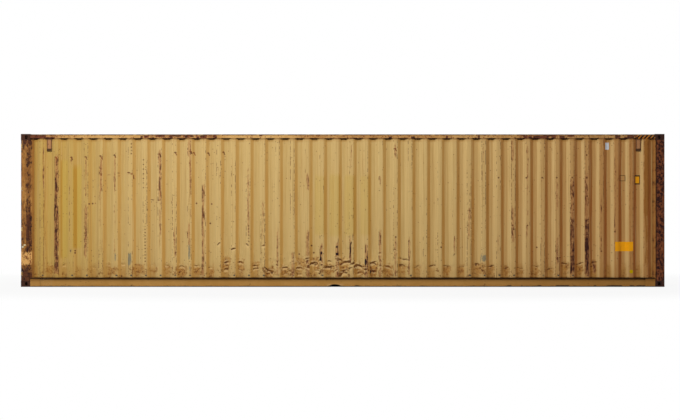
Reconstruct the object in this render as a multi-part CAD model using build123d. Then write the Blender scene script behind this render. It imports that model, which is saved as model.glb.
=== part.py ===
from build123d import *

import os
from math import cos, pi, sin, tan

# Overall size of the box
LENGTH = 12192
WIDTH = 2438
HEIGHT = 2896
REAR = -LENGTH / 2
FRONT = LENGTH / 2
NEAR = -WIDTH / 2

# Corner fittings
FITTING_X = 178
FITTING_Y = 162
FITTING_Z = 118
FITTING_PLATE = 28
FITTING_WALL = 15
FITTING_NOSE = 10
SLOT_LENGTH = 124
SLOT_WIDTH = 63.5
SLOT_FROM_END = 103.5
SLOT_FROM_SIDE = 89.5
EYE_HEIGHT = 79.5
SIDE_EYE_WIDTH = 51
END_EYE_WIDTH = 63.5
EYE_LEVEL = 59
EYE_SIDES = 4

# Heights of the long members
SKIN = 2
BASE_CLEAR = 12
RAIL_TOP = 174
TOP_RAIL_SIDE = 60
TOP_RAIL_WALL = 3
TOP_RAIL_HIGH = HEIGHT - 26
TOP_RAIL_LOW = TOP_RAIL_HIGH - TOP_RAIL_SIDE

# Side walls, measured along the box from its rear end
RIDGE_PITCH = 279
RIDGE_FLAT = 72
RIDGE_SLOPE = 68
RIDGE_DEPTH = 36
FIRST_RIDGE = 398
LAST_RIDGE = 350
RIDGE_COUNT = 1 + int((LENGTH - FIRST_RIDGE - LAST_RIDGE) / RIDGE_PITCH)
RIDGE_FACE = 6
SHEET = 2

# Rear corner posts
POST_STEEL = 6
POST_LIP = 6
POST_FACE = 138
POST_SLOPE_END = 190
POST_FLANGE_END = 246
POST_FLANGE_DEPTH = 42
JAMB_FRONT = 48
JAMB_LENGTH = 113
JAMB_DEPTH = 49
JAMB_STEEL = 10

# Front corner posts
NOSE_FACE = 150
NOSE_SLOPE_END = 195
NOSE_FLANGE_END = 225
NOSE_END_FACE = 110
NOSE_END_SLOPE = 135
NOSE_END_DEPTH = 52

# Front wall
END_PITCH = 250
END_FLAT = 110
END_SLOPE = 18
END_DEPTH = 46
END_FACE = 6
END_RIDGES = int((WIDTH - 2 * FITTING_Y) / END_PITCH)

# Roof
ROOF_PITCH = 209
ROOF_FLAT = 91
ROOF_SLOPE = 13.5
ROOF_DEPTH = 18
ROOF_EDGE = 20
ROOF_MARGIN = 70
ROOF_PLATE = 4
ROOF_RIDGES = int((LENGTH - 2 * FITTING_X) / ROOF_PITCH)

# Bottom side rails
RAIL_STEEL = 4.5
RAIL_UPPER = 48
RAIL_LOWER = 30
RAIL_PLATE_END = 367
RAIL_PLATE = 6

# Floor and underframe
FLOOR_TOP = RAIL_TOP + 2
FLOOR_BOARD = 28
MEMBER_HEIGHT = 122
MEMBER_FLANGE = 45
MEMBER_STEEL = 4
MEMBER_PITCH = 290
TUNNEL_LENGTH = 3315
TUNNEL_WIDTH = 1029
TUNNEL_HEIGHT = 120
TUNNEL_STEEL = 4
TUNNEL_BOW = 24

# Door opening and end beams
BEAM_FACE = 64
BEAM_BACK = 161
BEAM_STEEL = 4
SILL_TOP = RAIL_TOP - 4
HEADER_LOW = TOP_RAIL_LOW - 55

# Door leaves
LEAF_DEPTH = 50
LEAF_GAP = 12
LEAF_MEETING_GAP = 10
STILE_WIDTH = 100
STILE_STEEL = 3.2
RAIL_HEIGHT = 150
DOOR_PITCH = 440
DOOR_FLAT = 200
DOOR_SLOPE = 40
DOOR_DEPTH = 36
DOOR_RIBS = int((HEADER_LOW - SILL_TOP - 2 * LEAF_GAP - 2 * RAIL_HEIGHT) / DOOR_PITCH)
SEAL_LIP = 7
SEAL_MEETING_LIP = 2
SEAL_SEAT = 12
SEAL_THICK = 10

# Hinges
HINGE_SHARES = (0.087, 0.3774, 0.6426, 0.9227)
PIN_INSET = 15
PIN_R = 7
PIN_PLAY = 0.05
PIN_SIDES = 12
KNUCKLE_R = 12
KNUCKLE_CORNER = 5
KNUCKLE_HEIGHT = 70
KNUCKLE_GAP = 2
LUG_HEIGHT = 16
BLADE_STEEL = 11
BLADE_FACE = PIN_INSET + 16
BLADE_BEND = JAMB_DEPTH + 5
BLADE_END = 170
WINDOW_HEIGHT = 95
WINDOW_END = 34

# Locking bars
BAR_R = 17
BAR_DEPTH = 38
BAR_POSITIONS = (290, 900)
BAR_LOW = SILL_TOP - 98
BAR_HIGH = HEADER_LOW + 91
BAR_PLAY = 0.5
CAM_HEIGHT = 56
CAM_WIDTH = 70
CAM_OUTLINE = ((-21, 35), (-3, 35), (3, 22), (16, 13), (21, 0))
KEEPER_GAP = 6
KEEPER_LUG = 14
KEEPER_HEIGHT = 84
KEEPER_PLATE = 8
KEEPER_FOOT = 22
KEEPER_REACH = 18
BRACKET_WIDTH = 92
BRACKET_HEIGHT = 60
BRACKET_STEEL = 8
HANDLE_LEVELS = (1066, 978)
HANDLE_REACH = 470
HANDLE_WIDTH = 34
HANDLE_STEEL = 12
HUB_HEIGHT = 54
HUB_LEG = 6
CATCH_HEIGHT = 74
CATCH_WIDTH = 60
CATCH_LIP = 2
CATCH_SLACK = 3

# Ventilators in the wall recesses
VENT_RECESSES = (0, RIDGE_COUNT - 2)
VENT_WIDTH = 94
VENT_FOOT_WIDTH = 68
VENT_HEIGHT = 230
VENT_HIGH = TOP_RAIL_LOW - 4
VENT_FACE = 14
VENT_BODY = 20

NODES = {}


def block(x_span, y_span, z_span):
    """Box between two x, two y and two z values."""
    spans = (x_span, y_span, z_span)
    middle = [(low + high) / 2 for low, high in spans]
    sides = [high - low for low, high in spans]
    return Pos(*middle) * Box(*sides)


def section(points, holes):
    """Flat outline with its holes."""
    face = Polygon(*points, align=None)
    for hole in holes:
        face -= Polygon(*hole, align=None)
    return face


def run_x(points, x_span, holes=()):
    """Section drawn in y and z, run along the box."""
    face = Plane.YZ * section(points, holes)
    return Pos(x_span[0], 0, 0) * extrude(face, x_span[1] - x_span[0], dir=(1, 0, 0))


def run_y(points, y_span, holes=()):
    """Section drawn in x and z, run across the box."""
    face = Plane.XZ * section(points, holes)
    return Pos(0, y_span[0], 0) * extrude(face, y_span[1] - y_span[0], dir=(0, 1, 0))


def run_z(points, z_span, holes=()):
    """Plan outline in x and y, run upwards."""
    face = section(points, holes)
    return Pos(0, 0, z_span[0]) * extrude(face, z_span[1] - z_span[0], dir=(0, 0, 1))


def rod(x, y, radius, z_span):
    """Upright round bar."""
    low, high = z_span
    return Pos(x, y, (low + high) / 2) * Cylinder(radius, high - low)


def far(shape):
    """The same piece on the far side of the box."""
    return mirror(shape, about=Plane.XZ)


def both_sides(shapes):
    """Pieces with their mirror images across the box."""
    return list(shapes) + [far(shape) for shape in shapes]


def at_rear(points):
    """Plan points measured inwards from the rear end and the near side."""
    return [(REAR + along, NEAR + across) for along, across in points]


def at_front(points):
    """Plan points measured inwards from the front end and the near side."""
    return [(FRONT - along, NEAR + across) for along, across in points]


def pleats(start, end, first, pitch, count, flat, slope, depth):
    """Edge outline of a corrugated sheet: ridges at depth 0, recesses at full depth."""
    line = [(start, depth)]
    for i in range(count):
        middle = first + i * pitch
        line.append((middle - flat / 2 - slope, depth))
        line.append((middle - flat / 2, 0))
        line.append((middle + flat / 2, 0))
        line.append((middle + flat / 2 + slope, depth))
    line.append((end, depth))
    return line


def sheet_outline(line, thickness):
    """Closed outline of a sheet whose outer face follows the line."""
    back = [(along, deep + thickness) for along, deep in reversed(line)]
    return line + back


def keep(name, shapes):
    """Put one piece, or several that do not touch, under a name."""
    pieces = shapes if isinstance(shapes, list) else [shapes]
    solids = [solid for piece in pieces for solid in piece.solids()]
    NODES[name] = solids[0] if len(solids) == 1 else Compound(children=solids)


def turned(across, level, radius, steps, sweep=pi):
    """Points round a centre, evenly spaced over the sweep."""
    turns = [sweep * step / steps for step in range(steps + 1)]
    return [(across + radius * cos(turn), level + radius * sin(turn)) for turn in turns]


def eye(across, width):
    """Upright slot outline whose round ends are drawn with a few straight sides."""
    rise = (EYE_HEIGHT - width) / 2
    upper = turned(across, EYE_LEVEL + rise, width / 2, EYE_SIDES)
    lower = [(2 * across - side, 2 * EYE_LEVEL - level) for side, level in upper]
    return upper + lower


def corner_fitting():
    """Hollow casting: outer corner at the origin, slotted plate on z = 0."""
    shell = block((0, FITTING_X), (0, FITTING_Y), (0, FITTING_Z))
    corner = shell.edges().filter_by(Axis.Z).sort_by_distance((0, 0, 0))[0]
    shell = chamfer(corner, FITTING_NOSE)
    hollow = block(
        (FITTING_WALL, FITTING_X - FITTING_WALL),
        (FITTING_WALL, FITTING_Y - FITTING_WALL),
        (FITTING_PLATE, FITTING_Z - FITTING_WALL),
    )
    slot = Pos(SLOT_FROM_END, SLOT_FROM_SIDE, 0) * extrude(
        SlotOverall(SLOT_LENGTH, SLOT_WIDTH), FITTING_PLATE
    )
    side_eye = run_y(eye(SLOT_FROM_END, SIDE_EYE_WIDTH), (0, FITTING_WALL))
    end_eye = run_x(eye(SLOT_FROM_SIDE, END_EYE_WIDTH), (0, FITTING_WALL))
    return shell - hollow - slot - side_eye - end_eye


def corner_fittings():
    """Eight castings, two at each end of the top and of the base."""
    base = corner_fitting()
    top = Pos(0, 0, HEIGHT) * mirror(base, about=Plane.XY)
    for level, casting in (("bottom", base), ("top", top)):
        rear = Pos(REAR, NEAR, 0) * casting
        front = mirror(rear, about=Plane.YZ)
        keep(f"{level}_corner_fittings_rear", both_sides([rear]))
        keep(f"{level}_corner_fittings_front", both_sides([front]))


def post_run(outline, holes, end, place):
    """Post between its fittings: the flange starts on the rail and ends under the top rail."""
    low, high = FITTING_Z, HEIGHT - FITTING_Z
    post = run_z(place(outline), (low, TOP_RAIL_LOW), [place(hole) for hole in holes])
    near_rail = [place([(end, 0)])[0][0], place([(FITTING_X, 0)])[0][0]]
    near_fitting = [place([(-1, 0)])[0][0], place([(FITTING_X, 0)])[0][0]]
    across = (NEAR - 1, NEAR + FITTING_Y + 1)
    post -= block((min(near_rail), max(near_rail)), across, (low, RAIL_TOP))
    return post - block((min(near_fitting), max(near_fitting)), across, (high, TOP_RAIL_LOW))


def rear_post():
    """Pressed outer section with a rearward lip, closed by a heavy channel that is the door jamb."""
    run = POST_SLOPE_END - POST_FACE
    rise = POST_FLANGE_DEPTH - SKIN
    steel = POST_STEEL * (run**2 + rise**2) ** 0.5 / run
    jamb_back = JAMB_FRONT + JAMB_LENGTH

    def slope(along, extra=0):
        return (along, SKIN + (along - POST_FACE) * rise / run + extra)

    inner_bend = POST_FACE + (POST_STEEL - steel) * run / rise
    flange_bend = POST_FACE + (rise + POST_STEEL - steel) * run / rise
    outline = [
        (POST_LIP, SKIN),
        (POST_FACE, SKIN),
        slope(POST_SLOPE_END),
        (POST_FLANGE_END, POST_FLANGE_DEPTH),
        (POST_FLANGE_END, POST_FLANGE_DEPTH + POST_STEEL),
        (flange_bend, POST_FLANGE_DEPTH + POST_STEEL),
        slope(jamb_back, steel),
        (jamb_back, JAMB_DEPTH),
        (JAMB_FRONT, JAMB_DEPTH),
        (JAMB_FRONT, SKIN + POST_STEEL),
        (POST_LIP, SKIN + POST_STEEL),
    ]
    cell = [
        (JAMB_FRONT + JAMB_STEEL, SKIN + POST_STEEL),
        (inner_bend, SKIN + POST_STEEL),
        slope(jamb_back - JAMB_STEEL, steel),
        (jamb_back - JAMB_STEEL, JAMB_DEPTH - JAMB_STEEL),
        (JAMB_FRONT + JAMB_STEEL, JAMB_DEPTH - JAMB_STEEL),
    ]
    post = post_run(outline, [cell], POST_FLANGE_END, at_rear)
    for level in hinge_levels():
        post -= block(
            (REAR, REAR + WINDOW_END),
            (NEAR, NEAR + SKIN + POST_STEEL),
            (level - WINDOW_HEIGHT / 2, level + WINDOW_HEIGHT / 2),
        )
    return post


def front_post():
    """Single pressing round the corner, with a flange for the side wall and one for the end wall."""
    t = POST_STEEL
    outline = [
        (SKIN, SKIN),
        (NOSE_FACE, SKIN),
        (NOSE_SLOPE_END, POST_FLANGE_DEPTH),
        (NOSE_FLANGE_END, POST_FLANGE_DEPTH),
        (NOSE_FLANGE_END, POST_FLANGE_DEPTH + t),
        (NOSE_SLOPE_END - t / 2, POST_FLANGE_DEPTH + t),
        (NOSE_FACE - t / 2, SKIN + t),
        (SKIN + t, SKIN + t),
        (SKIN + t, NOSE_END_FACE - t / 2),
        (NOSE_END_DEPTH + t, NOSE_END_SLOPE - t / 2),
        (NOSE_END_DEPTH + t, FITTING_Y),
        (NOSE_END_DEPTH, FITTING_Y),
        (NOSE_END_DEPTH, NOSE_END_SLOPE),
        (SKIN, NOSE_END_FACE),
    ]
    return post_run(outline, [], NOSE_FLANGE_END, at_front)


def corner_posts():
    rear = rear_post()
    front = front_post()
    keep("rear_post_near", rear)
    keep("rear_post_far", far(rear))
    keep("front_post_near", front)
    keep("front_post_far", far(front))


def side_walls():
    """Corrugated sheet from post to post, between the bottom rail and the top rail."""
    line = pleats(
        POST_FLANGE_END, LENGTH - NOSE_FLANGE_END, FIRST_RIDGE,
        RIDGE_PITCH, RIDGE_COUNT, RIDGE_FLAT, RIDGE_SLOPE, RIDGE_DEPTH,
    )
    outline = [(along, RIDGE_FACE + deep) for along, deep in sheet_outline(line, SHEET)]
    wall = run_z(at_rear(outline), (RAIL_TOP, TOP_RAIL_LOW))
    keep("side_wall_near", wall)
    keep("side_wall_far", far(wall))


def front_wall():
    """End wall with deeper, steeper corrugations than the sides."""
    half = WIDTH / 2 - FITTING_Y
    first = -(END_RIDGES - 1) / 2 * END_PITCH
    line = pleats(-half, half, first, END_PITCH, END_RIDGES, END_FLAT, END_SLOPE, END_DEPTH)
    outline = [(FRONT - END_FACE - deep, across) for across, deep in sheet_outline(line, SHEET)]
    keep("front_wall", run_z(outline, (RAIL_TOP, TOP_RAIL_LOW)))


def square_tube(low_side, low, high, wall):
    """Outline and hole of a square tube in across and height."""
    side = high - low
    outer = [
        (low_side, low),
        (low_side + side, low),
        (low_side + side, high),
        (low_side, high),
    ]
    inner = [
        (low_side + wall, low + wall),
        (low_side + side - wall, low + wall),
        (low_side + side - wall, high - wall),
        (low_side + wall, high - wall),
    ]
    return outer, inner


def top_rails():
    """Square tubes that join the upper fittings along the sides and the front."""
    outer, inner = square_tube(NEAR + SKIN, TOP_RAIL_LOW, TOP_RAIL_HIGH, TOP_RAIL_WALL)
    side = run_x(outer, (REAR + FITTING_X, FRONT - FITTING_X), [inner])
    keep("top_side_rail_near", side)
    keep("top_side_rail_far", far(side))
    start = FRONT - SKIN - TOP_RAIL_SIDE
    outer, inner = square_tube(start, TOP_RAIL_LOW, TOP_RAIL_HIGH, TOP_RAIL_WALL)
    half = WIDTH / 2 - FITTING_Y
    keep("front_top_rail", run_y(outer, (-half, half), [inner]))


def bottom_rails():
    """Channels with their flanges outwards, the upper one wide enough to carry the wall."""
    web = NEAR + SKIN + RAIL_UPPER
    t = RAIL_STEEL
    outline = [
        (web, BASE_CLEAR),
        (web, RAIL_TOP),
        (web - RAIL_UPPER, RAIL_TOP),
        (web - RAIL_UPPER, RAIL_TOP - t),
        (web - t, RAIL_TOP - t),
        (web - t, BASE_CLEAR + t),
        (web - RAIL_LOWER, BASE_CLEAR + t),
        (web - RAIL_LOWER, BASE_CLEAR),
    ]
    rail = run_x(outline, (REAR + FITTING_X, FRONT - FITTING_X))
    keep("bottom_side_rail_near", rail)
    keep("bottom_side_rail_far", far(rail))
    across = (NEAR + SKIN, NEAR + SKIN + RAIL_PLATE)
    upright = (BASE_CLEAR, RAIL_TOP - t)
    rear = block((REAR + FITTING_X, REAR + RAIL_PLATE_END), across, upright)
    front = mirror(rear, about=Plane.YZ)
    keep("rail_end_plates", both_sides([rear, front]))


def front_sill():
    """Box beam under the front wall, cut away over the gooseneck tunnel."""
    half = WIDTH / 2 - FITTING_Y
    back = FRONT - SKIN - TOP_RAIL_SIDE
    t = RAIL_STEEL
    outer = [(back, BASE_CLEAR), (FRONT - SKIN, BASE_CLEAR), (FRONT - SKIN, RAIL_TOP), (back, RAIL_TOP)]
    inner = [
        (back + t, BASE_CLEAR + t),
        (FRONT - SKIN - t, BASE_CLEAR + t),
        (FRONT - SKIN - t, RAIL_TOP - t),
        (back + t, RAIL_TOP - t),
    ]
    beam = run_y(outer, (-half, half), [inner])
    side = TUNNEL_WIDTH / 2 + TUNNEL_STEEL
    beam -= block((back, FRONT), (-side, side), (0, TUNNEL_HEIGHT + TUNNEL_STEEL))
    keep("front_sill", beam)


def roof():
    """Sheet pressed in ribs across the box, with flat turned-down edges and a plate at each end."""
    start, end = REAR + FITTING_X, FRONT - FITTING_X
    first = -(ROOF_RIDGES - 1) / 2 * ROOF_PITCH
    line = pleats(start, end, first, ROOF_PITCH, ROOF_RIDGES, ROOF_FLAT, ROOF_SLOPE, ROOF_DEPTH)
    crest = TOP_RAIL_HIGH + SHEET + ROOF_DEPTH
    ribs = [(along, crest - deep) for along, deep in sheet_outline(line, SHEET)]
    edge = WIDTH / 2 - ROOF_EDGE
    inside = edge - ROOF_MARGIN
    sheet = run_y(ribs, (-inside, inside))
    turned_down = [
        (-edge, TOP_RAIL_HIGH),
        (-edge + SHEET, TOP_RAIL_HIGH),
        (-edge + SHEET, crest - SHEET),
        (-inside - SHEET, crest - SHEET),
        (-inside - SHEET, TOP_RAIL_HIGH),
        (-inside, TOP_RAIL_HIGH),
        (-inside, crest),
        (-edge, crest),
    ]
    margin = run_x(turned_down, (start, end))
    keep("roof", sheet + margin + far(margin))
    half = WIDTH / 2 - FITTING_Y
    flat = (TOP_RAIL_HIGH, TOP_RAIL_HIGH + ROOF_PLATE)
    rear = block((REAR + BEAM_FACE, start), (-half, half), flat)
    front = block((end, FRONT - SKIN), (-half, half), flat)
    keep("roof_end_plates", [rear, front])


def channel(x, y_span, low, high):
    """Cross member: a channel open towards the front of the box."""
    t = MEMBER_STEEL
    outline = [
        (x, low),
        (x + MEMBER_FLANGE, low),
        (x + MEMBER_FLANGE, low + t),
        (x + t, low + t),
        (x + t, high - t),
        (x + MEMBER_FLANGE, high - t),
        (x + MEMBER_FLANGE, high),
        (x, high),
    ]
    return run_y(outline, y_span)


def underframe():
    """Cross members under the floor: full width behind the tunnel, short ones beside it."""
    high = FLOOR_TOP - FLOOR_BOARD
    low = high - MEMBER_HEIGHT
    edge = WIDTH / 2 - SKIN - RAIL_UPPER
    tunnel_rear = FRONT - TUNNEL_LENGTH
    members = []
    x = REAR + BEAM_BACK + MEMBER_PITCH / 2
    while x + MEMBER_FLANGE < tunnel_rear - MEMBER_FLANGE:
        members.append(channel(x, (-edge, edge), low, high))
        x += MEMBER_PITCH
    members.append(channel(tunnel_rear - MEMBER_FLANGE, (-edge, edge), low, high))
    inner = TUNNEL_WIDTH / 2 + TUNNEL_STEEL
    x = tunnel_rear + MEMBER_PITCH / 2
    while x + MEMBER_FLANGE < FRONT - SKIN - TOP_RAIL_SIDE:
        members += both_sides([channel(x, (-edge, -inner), low, high)])
        x += MEMBER_PITCH
    keep("cross_members", members)


def gooseneck_tunnel():
    """Inverted trough in the front underframe, stiffened by bows under the floor."""
    inner = TUNNEL_WIDTH / 2
    outer = inner + TUNNEL_STEEL
    top = TUNNEL_HEIGHT + TUNNEL_STEEL
    outline = [
        (-outer, BASE_CLEAR),
        (-inner, BASE_CLEAR),
        (-inner, TUNNEL_HEIGHT),
        (inner, TUNNEL_HEIGHT),
        (inner, BASE_CLEAR),
        (outer, BASE_CLEAR),
        (outer, top),
        (-outer, top),
    ]
    start = FRONT - TUNNEL_LENGTH
    tunnel = run_x(outline, (start, FRONT - SKIN))
    x = start + MEMBER_PITCH / 2
    while x + MEMBER_FLANGE < FRONT - SKIN - TOP_RAIL_SIDE:
        tunnel += block((x, x + MEMBER_FLANGE), (-outer, outer), (top, top + TUNNEL_BOW))
        x += MEMBER_PITCH
    keep("gooseneck_tunnel", tunnel)


def floor():
    half = WIDTH / 2 - SKIN - RAIL_UPPER
    low = FLOOR_TOP - FLOOR_BOARD
    keep("floor", block((REAR + BEAM_BACK, FRONT - SKIN - TOP_RAIL_SIDE), (-half, half), (low, FLOOR_TOP)))


def beam_section(low, high):
    """Outline and hole of a box beam behind the door opening's outer face."""
    front, back, t = REAR + BEAM_FACE, REAR + BEAM_BACK, BEAM_STEEL
    outer = [(front, low), (back, low), (back, high), (front, high)]
    inner = [(front + t, low + t), (back - t, low + t), (back - t, high - t), (front + t, high - t)]
    return outer, inner


def door_beams():
    """Header and sill between the rear posts, notched round the fittings."""
    half = WIDTH / 2 - FITTING_Y
    jamb = WIDTH / 2 - JAMB_DEPTH
    beam_x = (REAR + BEAM_FACE, REAR + BEAM_BACK)
    outer, inner = beam_section(HEADER_LOW, TOP_RAIL_HIGH)
    header = run_y(outer, (-half, half), [inner])
    for span in ((-jamb, -half), (half, jamb)):
        header += block(beam_x, span, (HEADER_LOW, HEIGHT - FITTING_Z))
    keep("door_header", header)
    outer, inner = beam_section(BASE_CLEAR, SILL_TOP)
    sill = run_y(outer, (-half, half), [inner])
    for span in ((-jamb, -half), (half, jamb)):
        sill += block(beam_x, span, (FITTING_Z, SILL_TOP))
    keep("door_sill", sill)


def hinge_levels():
    return [share * HEIGHT for share in HINGE_SHARES]


def pin_outline(radius):
    """Plan of a hinge pin, many-sided, so that it stays light at eight hinges."""
    return turned(REAR + PIN_INSET, NEAR + PIN_INSET, radius, PIN_SIDES, 2 * pi)[:-1]


def hinge_lugs():
    """Pairs of lugs on the rear face of the post, each pair with its pin."""
    r, c = KNUCKLE_R, KNUCKLE_CORNER
    lip = SKIN + POST_STEEL
    outline = at_rear([
        (JAMB_FRONT, lip),
        (PIN_INSET - r + 2, lip),
        (PIN_INSET - r, lip + 2),
        (PIN_INSET - r, PIN_INSET + c),
        (PIN_INSET - c, PIN_INSET + r),
        (JAMB_FRONT, PIN_INSET + r),
    ])
    inner = KNUCKLE_HEIGHT / 2 + KNUCKLE_GAP
    hinges = []
    for level in hinge_levels():
        hinge = run_z(pin_outline(PIN_R), (level - inner, level + inner))
        hinge += run_z(outline, (level - inner - LUG_HEIGHT, level - inner))
        hinge += run_z(outline, (level + inner, level + inner + LUG_HEIGHT))
        hinges.append(hinge)
    keep("hinge_lugs_near", hinges)
    keep("hinge_lugs_far", [far(hinge) for hinge in hinges])


def bar_ys():
    return [NEAR + across for across in BAR_POSITIONS]


def keepers():
    """Cheeks on header and sill, one each side of every cam, each standing on its own foot."""
    face = REAR + BEAM_FACE
    inner = CAM_WIDTH / 2 + KEEPER_GAP
    outer = inner + KEEPER_LUG
    pieces = []
    for y in bar_ys():
        for level in (BAR_LOW + CAM_HEIGHT / 2, BAR_HIGH - CAM_HEIGHT / 2):
            span = (level - KEEPER_HEIGHT / 2, level + KEEPER_HEIGHT / 2)
            for turn in (-1, 1):
                cheek = sorted((y + turn * inner, y + turn * outer))
                foot = sorted((y + turn * inner, y + turn * (outer + KEEPER_FOOT)))
                keeper = block((REAR + KEEPER_REACH, face), cheek, span)
                keeper += block((face - KEEPER_PLATE, face), foot, span)
                pieces.append(keeper)
    keep("cam_keepers", both_sides(pieces))


def leaf_edges():
    """Edges of the near leaf: hinge side, meeting side, bottom and top."""
    hinge_side = NEAR + JAMB_DEPTH + LEAF_GAP
    return hinge_side, -LEAF_MEETING_GAP, SILL_TOP + LEAF_GAP, HEADER_LOW - LEAF_GAP


def leaf_frame():
    """Two upright tubes joined by channels whose webs face out."""
    hinge_side, meeting, low, high = leaf_edges()
    face, back, t = REAR + BEAM_FACE, REAR + BEAM_FACE + LEAF_DEPTH, STILE_STEEL
    frame = None
    for edge in (hinge_side, meeting - STILE_WIDTH):
        tube = block((face, back), (edge, edge + STILE_WIDTH), (low, high))
        tube -= block((face + t, back - t), (edge + t, edge + STILE_WIDTH - t), (low, high))
        frame = tube if frame is None else frame + tube
    across = (hinge_side + STILE_WIDTH, meeting - STILE_WIDTH)
    for start in (low, high - RAIL_HEIGHT):
        end = start + RAIL_HEIGHT
        outline = [
            (face, start),
            (back, start),
            (back, start + t),
            (face + t, start + t),
            (face + t, end - t),
            (back, end - t),
            (back, end),
            (face, end),
        ]
        frame += run_y(outline, across)
    return frame


def leaf_panel():
    """Sheet with broad ribs across the leaf."""
    hinge_side, meeting, low, high = leaf_edges()
    start, end = low + RAIL_HEIGHT, high - RAIL_HEIGHT
    first = (start + end) / 2 - (DOOR_RIBS - 1) / 2 * DOOR_PITCH
    line = pleats(start, end, first, DOOR_PITCH, DOOR_RIBS, DOOR_FLAT, DOOR_SLOPE, DOOR_DEPTH)
    face = REAR + BEAM_FACE
    outline = [(face + deep, along) for along, deep in sheet_outline(line, SHEET)]
    return run_y(outline, (hinge_side + STILE_WIDTH, meeting - STILE_WIDTH))


def leaf_seal():
    """Rubber strip round the back edge of the leaf."""
    hinge_side, meeting, low, high = leaf_edges()
    back = REAR + BEAM_FACE + LEAF_DEPTH
    depth = (back, back + SEAL_THICK)
    outer_y = (hinge_side - SEAL_LIP, meeting + SEAL_MEETING_LIP)
    strip = block(depth, outer_y, (low - SEAL_LIP, high + SEAL_LIP))
    inner_y = (hinge_side + SEAL_SEAT, meeting - SEAL_SEAT)
    return strip - block(depth, inner_y, (low + SEAL_SEAT, high - SEAL_SEAT))


def hinge_blades():
    """Cranked straps: a knuckle on the pin, a step over the post, a pad on the leaf."""
    t, r, c = BLADE_STEEL, KNUCKLE_R, KNUCKLE_CORNER
    step = BEAM_FACE - t - BLADE_FACE
    outline = at_rear([
        (PIN_INSET - r, PIN_INSET - c),
        (PIN_INSET - r, PIN_INSET + c),
        (PIN_INSET - c, PIN_INSET + r),
        (PIN_INSET + c, PIN_INSET + r),
        (BLADE_FACE, PIN_INSET + r + c),
        (BLADE_FACE, BLADE_BEND + t / 2),
        (BLADE_FACE + step, BLADE_BEND + t / 2 + step),
        (BLADE_FACE + step, BLADE_END),
        (BEAM_FACE, BLADE_END),
        (BEAM_FACE, BLADE_BEND + step),
        (BLADE_FACE + t, BLADE_BEND),
        (BLADE_FACE + t, PIN_INSET + r - c / 2),
        (PIN_INSET + c, PIN_INSET - r),
        (PIN_INSET - c, PIN_INSET - r),
    ])
    bore = pin_outline((PIN_R + PIN_PLAY) / cos(pi / PIN_SIDES))
    blades = []
    for level in hinge_levels():
        span = (level - KNUCKLE_HEIGHT / 2, level + KNUCKLE_HEIGHT / 2)
        blades.append(run_z(outline, span, [bore]))
    return blades


def locking_bars():
    """Upright bars with a horned cam at each end."""
    x = REAR + BAR_DEPTH
    bars = []
    for y in bar_ys():
        outline = [(x + deep, y + side) for deep, side in CAM_OUTLINE]
        outline += [(x + deep, y - side) for deep, side in reversed(CAM_OUTLINE[:-1])]
        bar = rod(x, y, BAR_R, (BAR_LOW, BAR_HIGH))
        for low in (BAR_LOW, BAR_HIGH - CAM_HEIGHT):
            bar += run_z(outline, (low, low + CAM_HEIGHT))
        bars.append(bar)
    return bars


def wrap(x, y, radius, end):
    """One edge of a strap bent over the bar: half an eight-sided ring with straight legs."""
    corner = radius * tan(pi / 8)
    return [
        (end, y - radius),
        (x - corner, y - radius),
        (x - radius, y - corner),
        (x - radius, y + corner),
        (x - corner, y + radius),
        (end, y + radius),
    ]


def bracket_levels():
    hinge_side, meeting, low, high = leaf_edges()
    middle = (low + high) / 2
    return (
        low + RAIL_HEIGHT / 2,
        middle - 2 * DOOR_PITCH,
        middle + DOOR_PITCH,
        high - RAIL_HEIGHT / 2,
    )


def bar_brackets():
    """Straps that hold the bars on the leaf, each with two feet."""
    x, face, t = REAR + BAR_DEPTH, REAR + BEAM_FACE, BRACKET_STEEL
    wing = BRACKET_WIDTH / 2
    pieces = []
    for y in bar_ys():
        inside = wrap(x, y, BAR_R + BAR_PLAY, face)
        outside = wrap(x, y, BAR_R + BAR_PLAY + t, face - t)
        outline = inside + [(face, y + wing), (face - t, y + wing)]
        outline += outside[::-1] + [(face - t, y - wing), (face, y - wing)]
        for level in bracket_levels():
            span = (level - BRACKET_HEIGHT / 2, level + BRACKET_HEIGHT / 2)
            pieces.append(run_z(outline, span))
    return pieces


def handle_parts():
    """Levers clasped round the bars, one pointing each way, and the catches that hold them."""
    x, face, t = REAR + BAR_DEPTH, REAR + BEAM_FACE, HANDLE_STEEL
    grip = BAR_R + BAR_PLAY + BRACKET_STEEL
    levers, catches = [], []
    for y, level, turn in zip(bar_ys(), HANDLE_LEVELS, (1, -1)):
        clasp = wrap(x, y, BAR_R + BAR_PLAY, x + HUB_LEG) + wrap(x, y, grip, x + HUB_LEG)[::-1]
        lever = run_z(clasp, (level - HUB_HEIGHT / 2, level + HUB_HEIGHT / 2))
        reach = sorted((y + turn * BAR_R / 2, y + turn * HANDLE_REACH))
        grip_z = (level - HANDLE_WIDTH / 2, level + HANDLE_WIDTH / 2)
        bar = block((x - grip, x - grip + t), reach, grip_z)
        lever += bar - rod(x, y, BAR_R + BAR_PLAY, grip_z)
        levers.append(lever)
        rest = y + turn * (HANDLE_REACH - CATCH_WIDTH)
        across = (rest - CATCH_WIDTH / 2, rest + CATCH_WIDTH / 2)
        upright = (level - CATCH_HEIGHT / 2, level + CATCH_HEIGHT / 2)
        catch = block((face - BRACKET_STEEL, face), across, upright)
        slack = HANDLE_WIDTH / 2 + CATCH_SLACK
        for cheek in ((upright[0], level - slack), (level + slack, upright[1])):
            catch += block((x - grip - CATCH_LIP, face), across, cheek)
        catches.append(catch)
    return levers, catches


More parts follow.
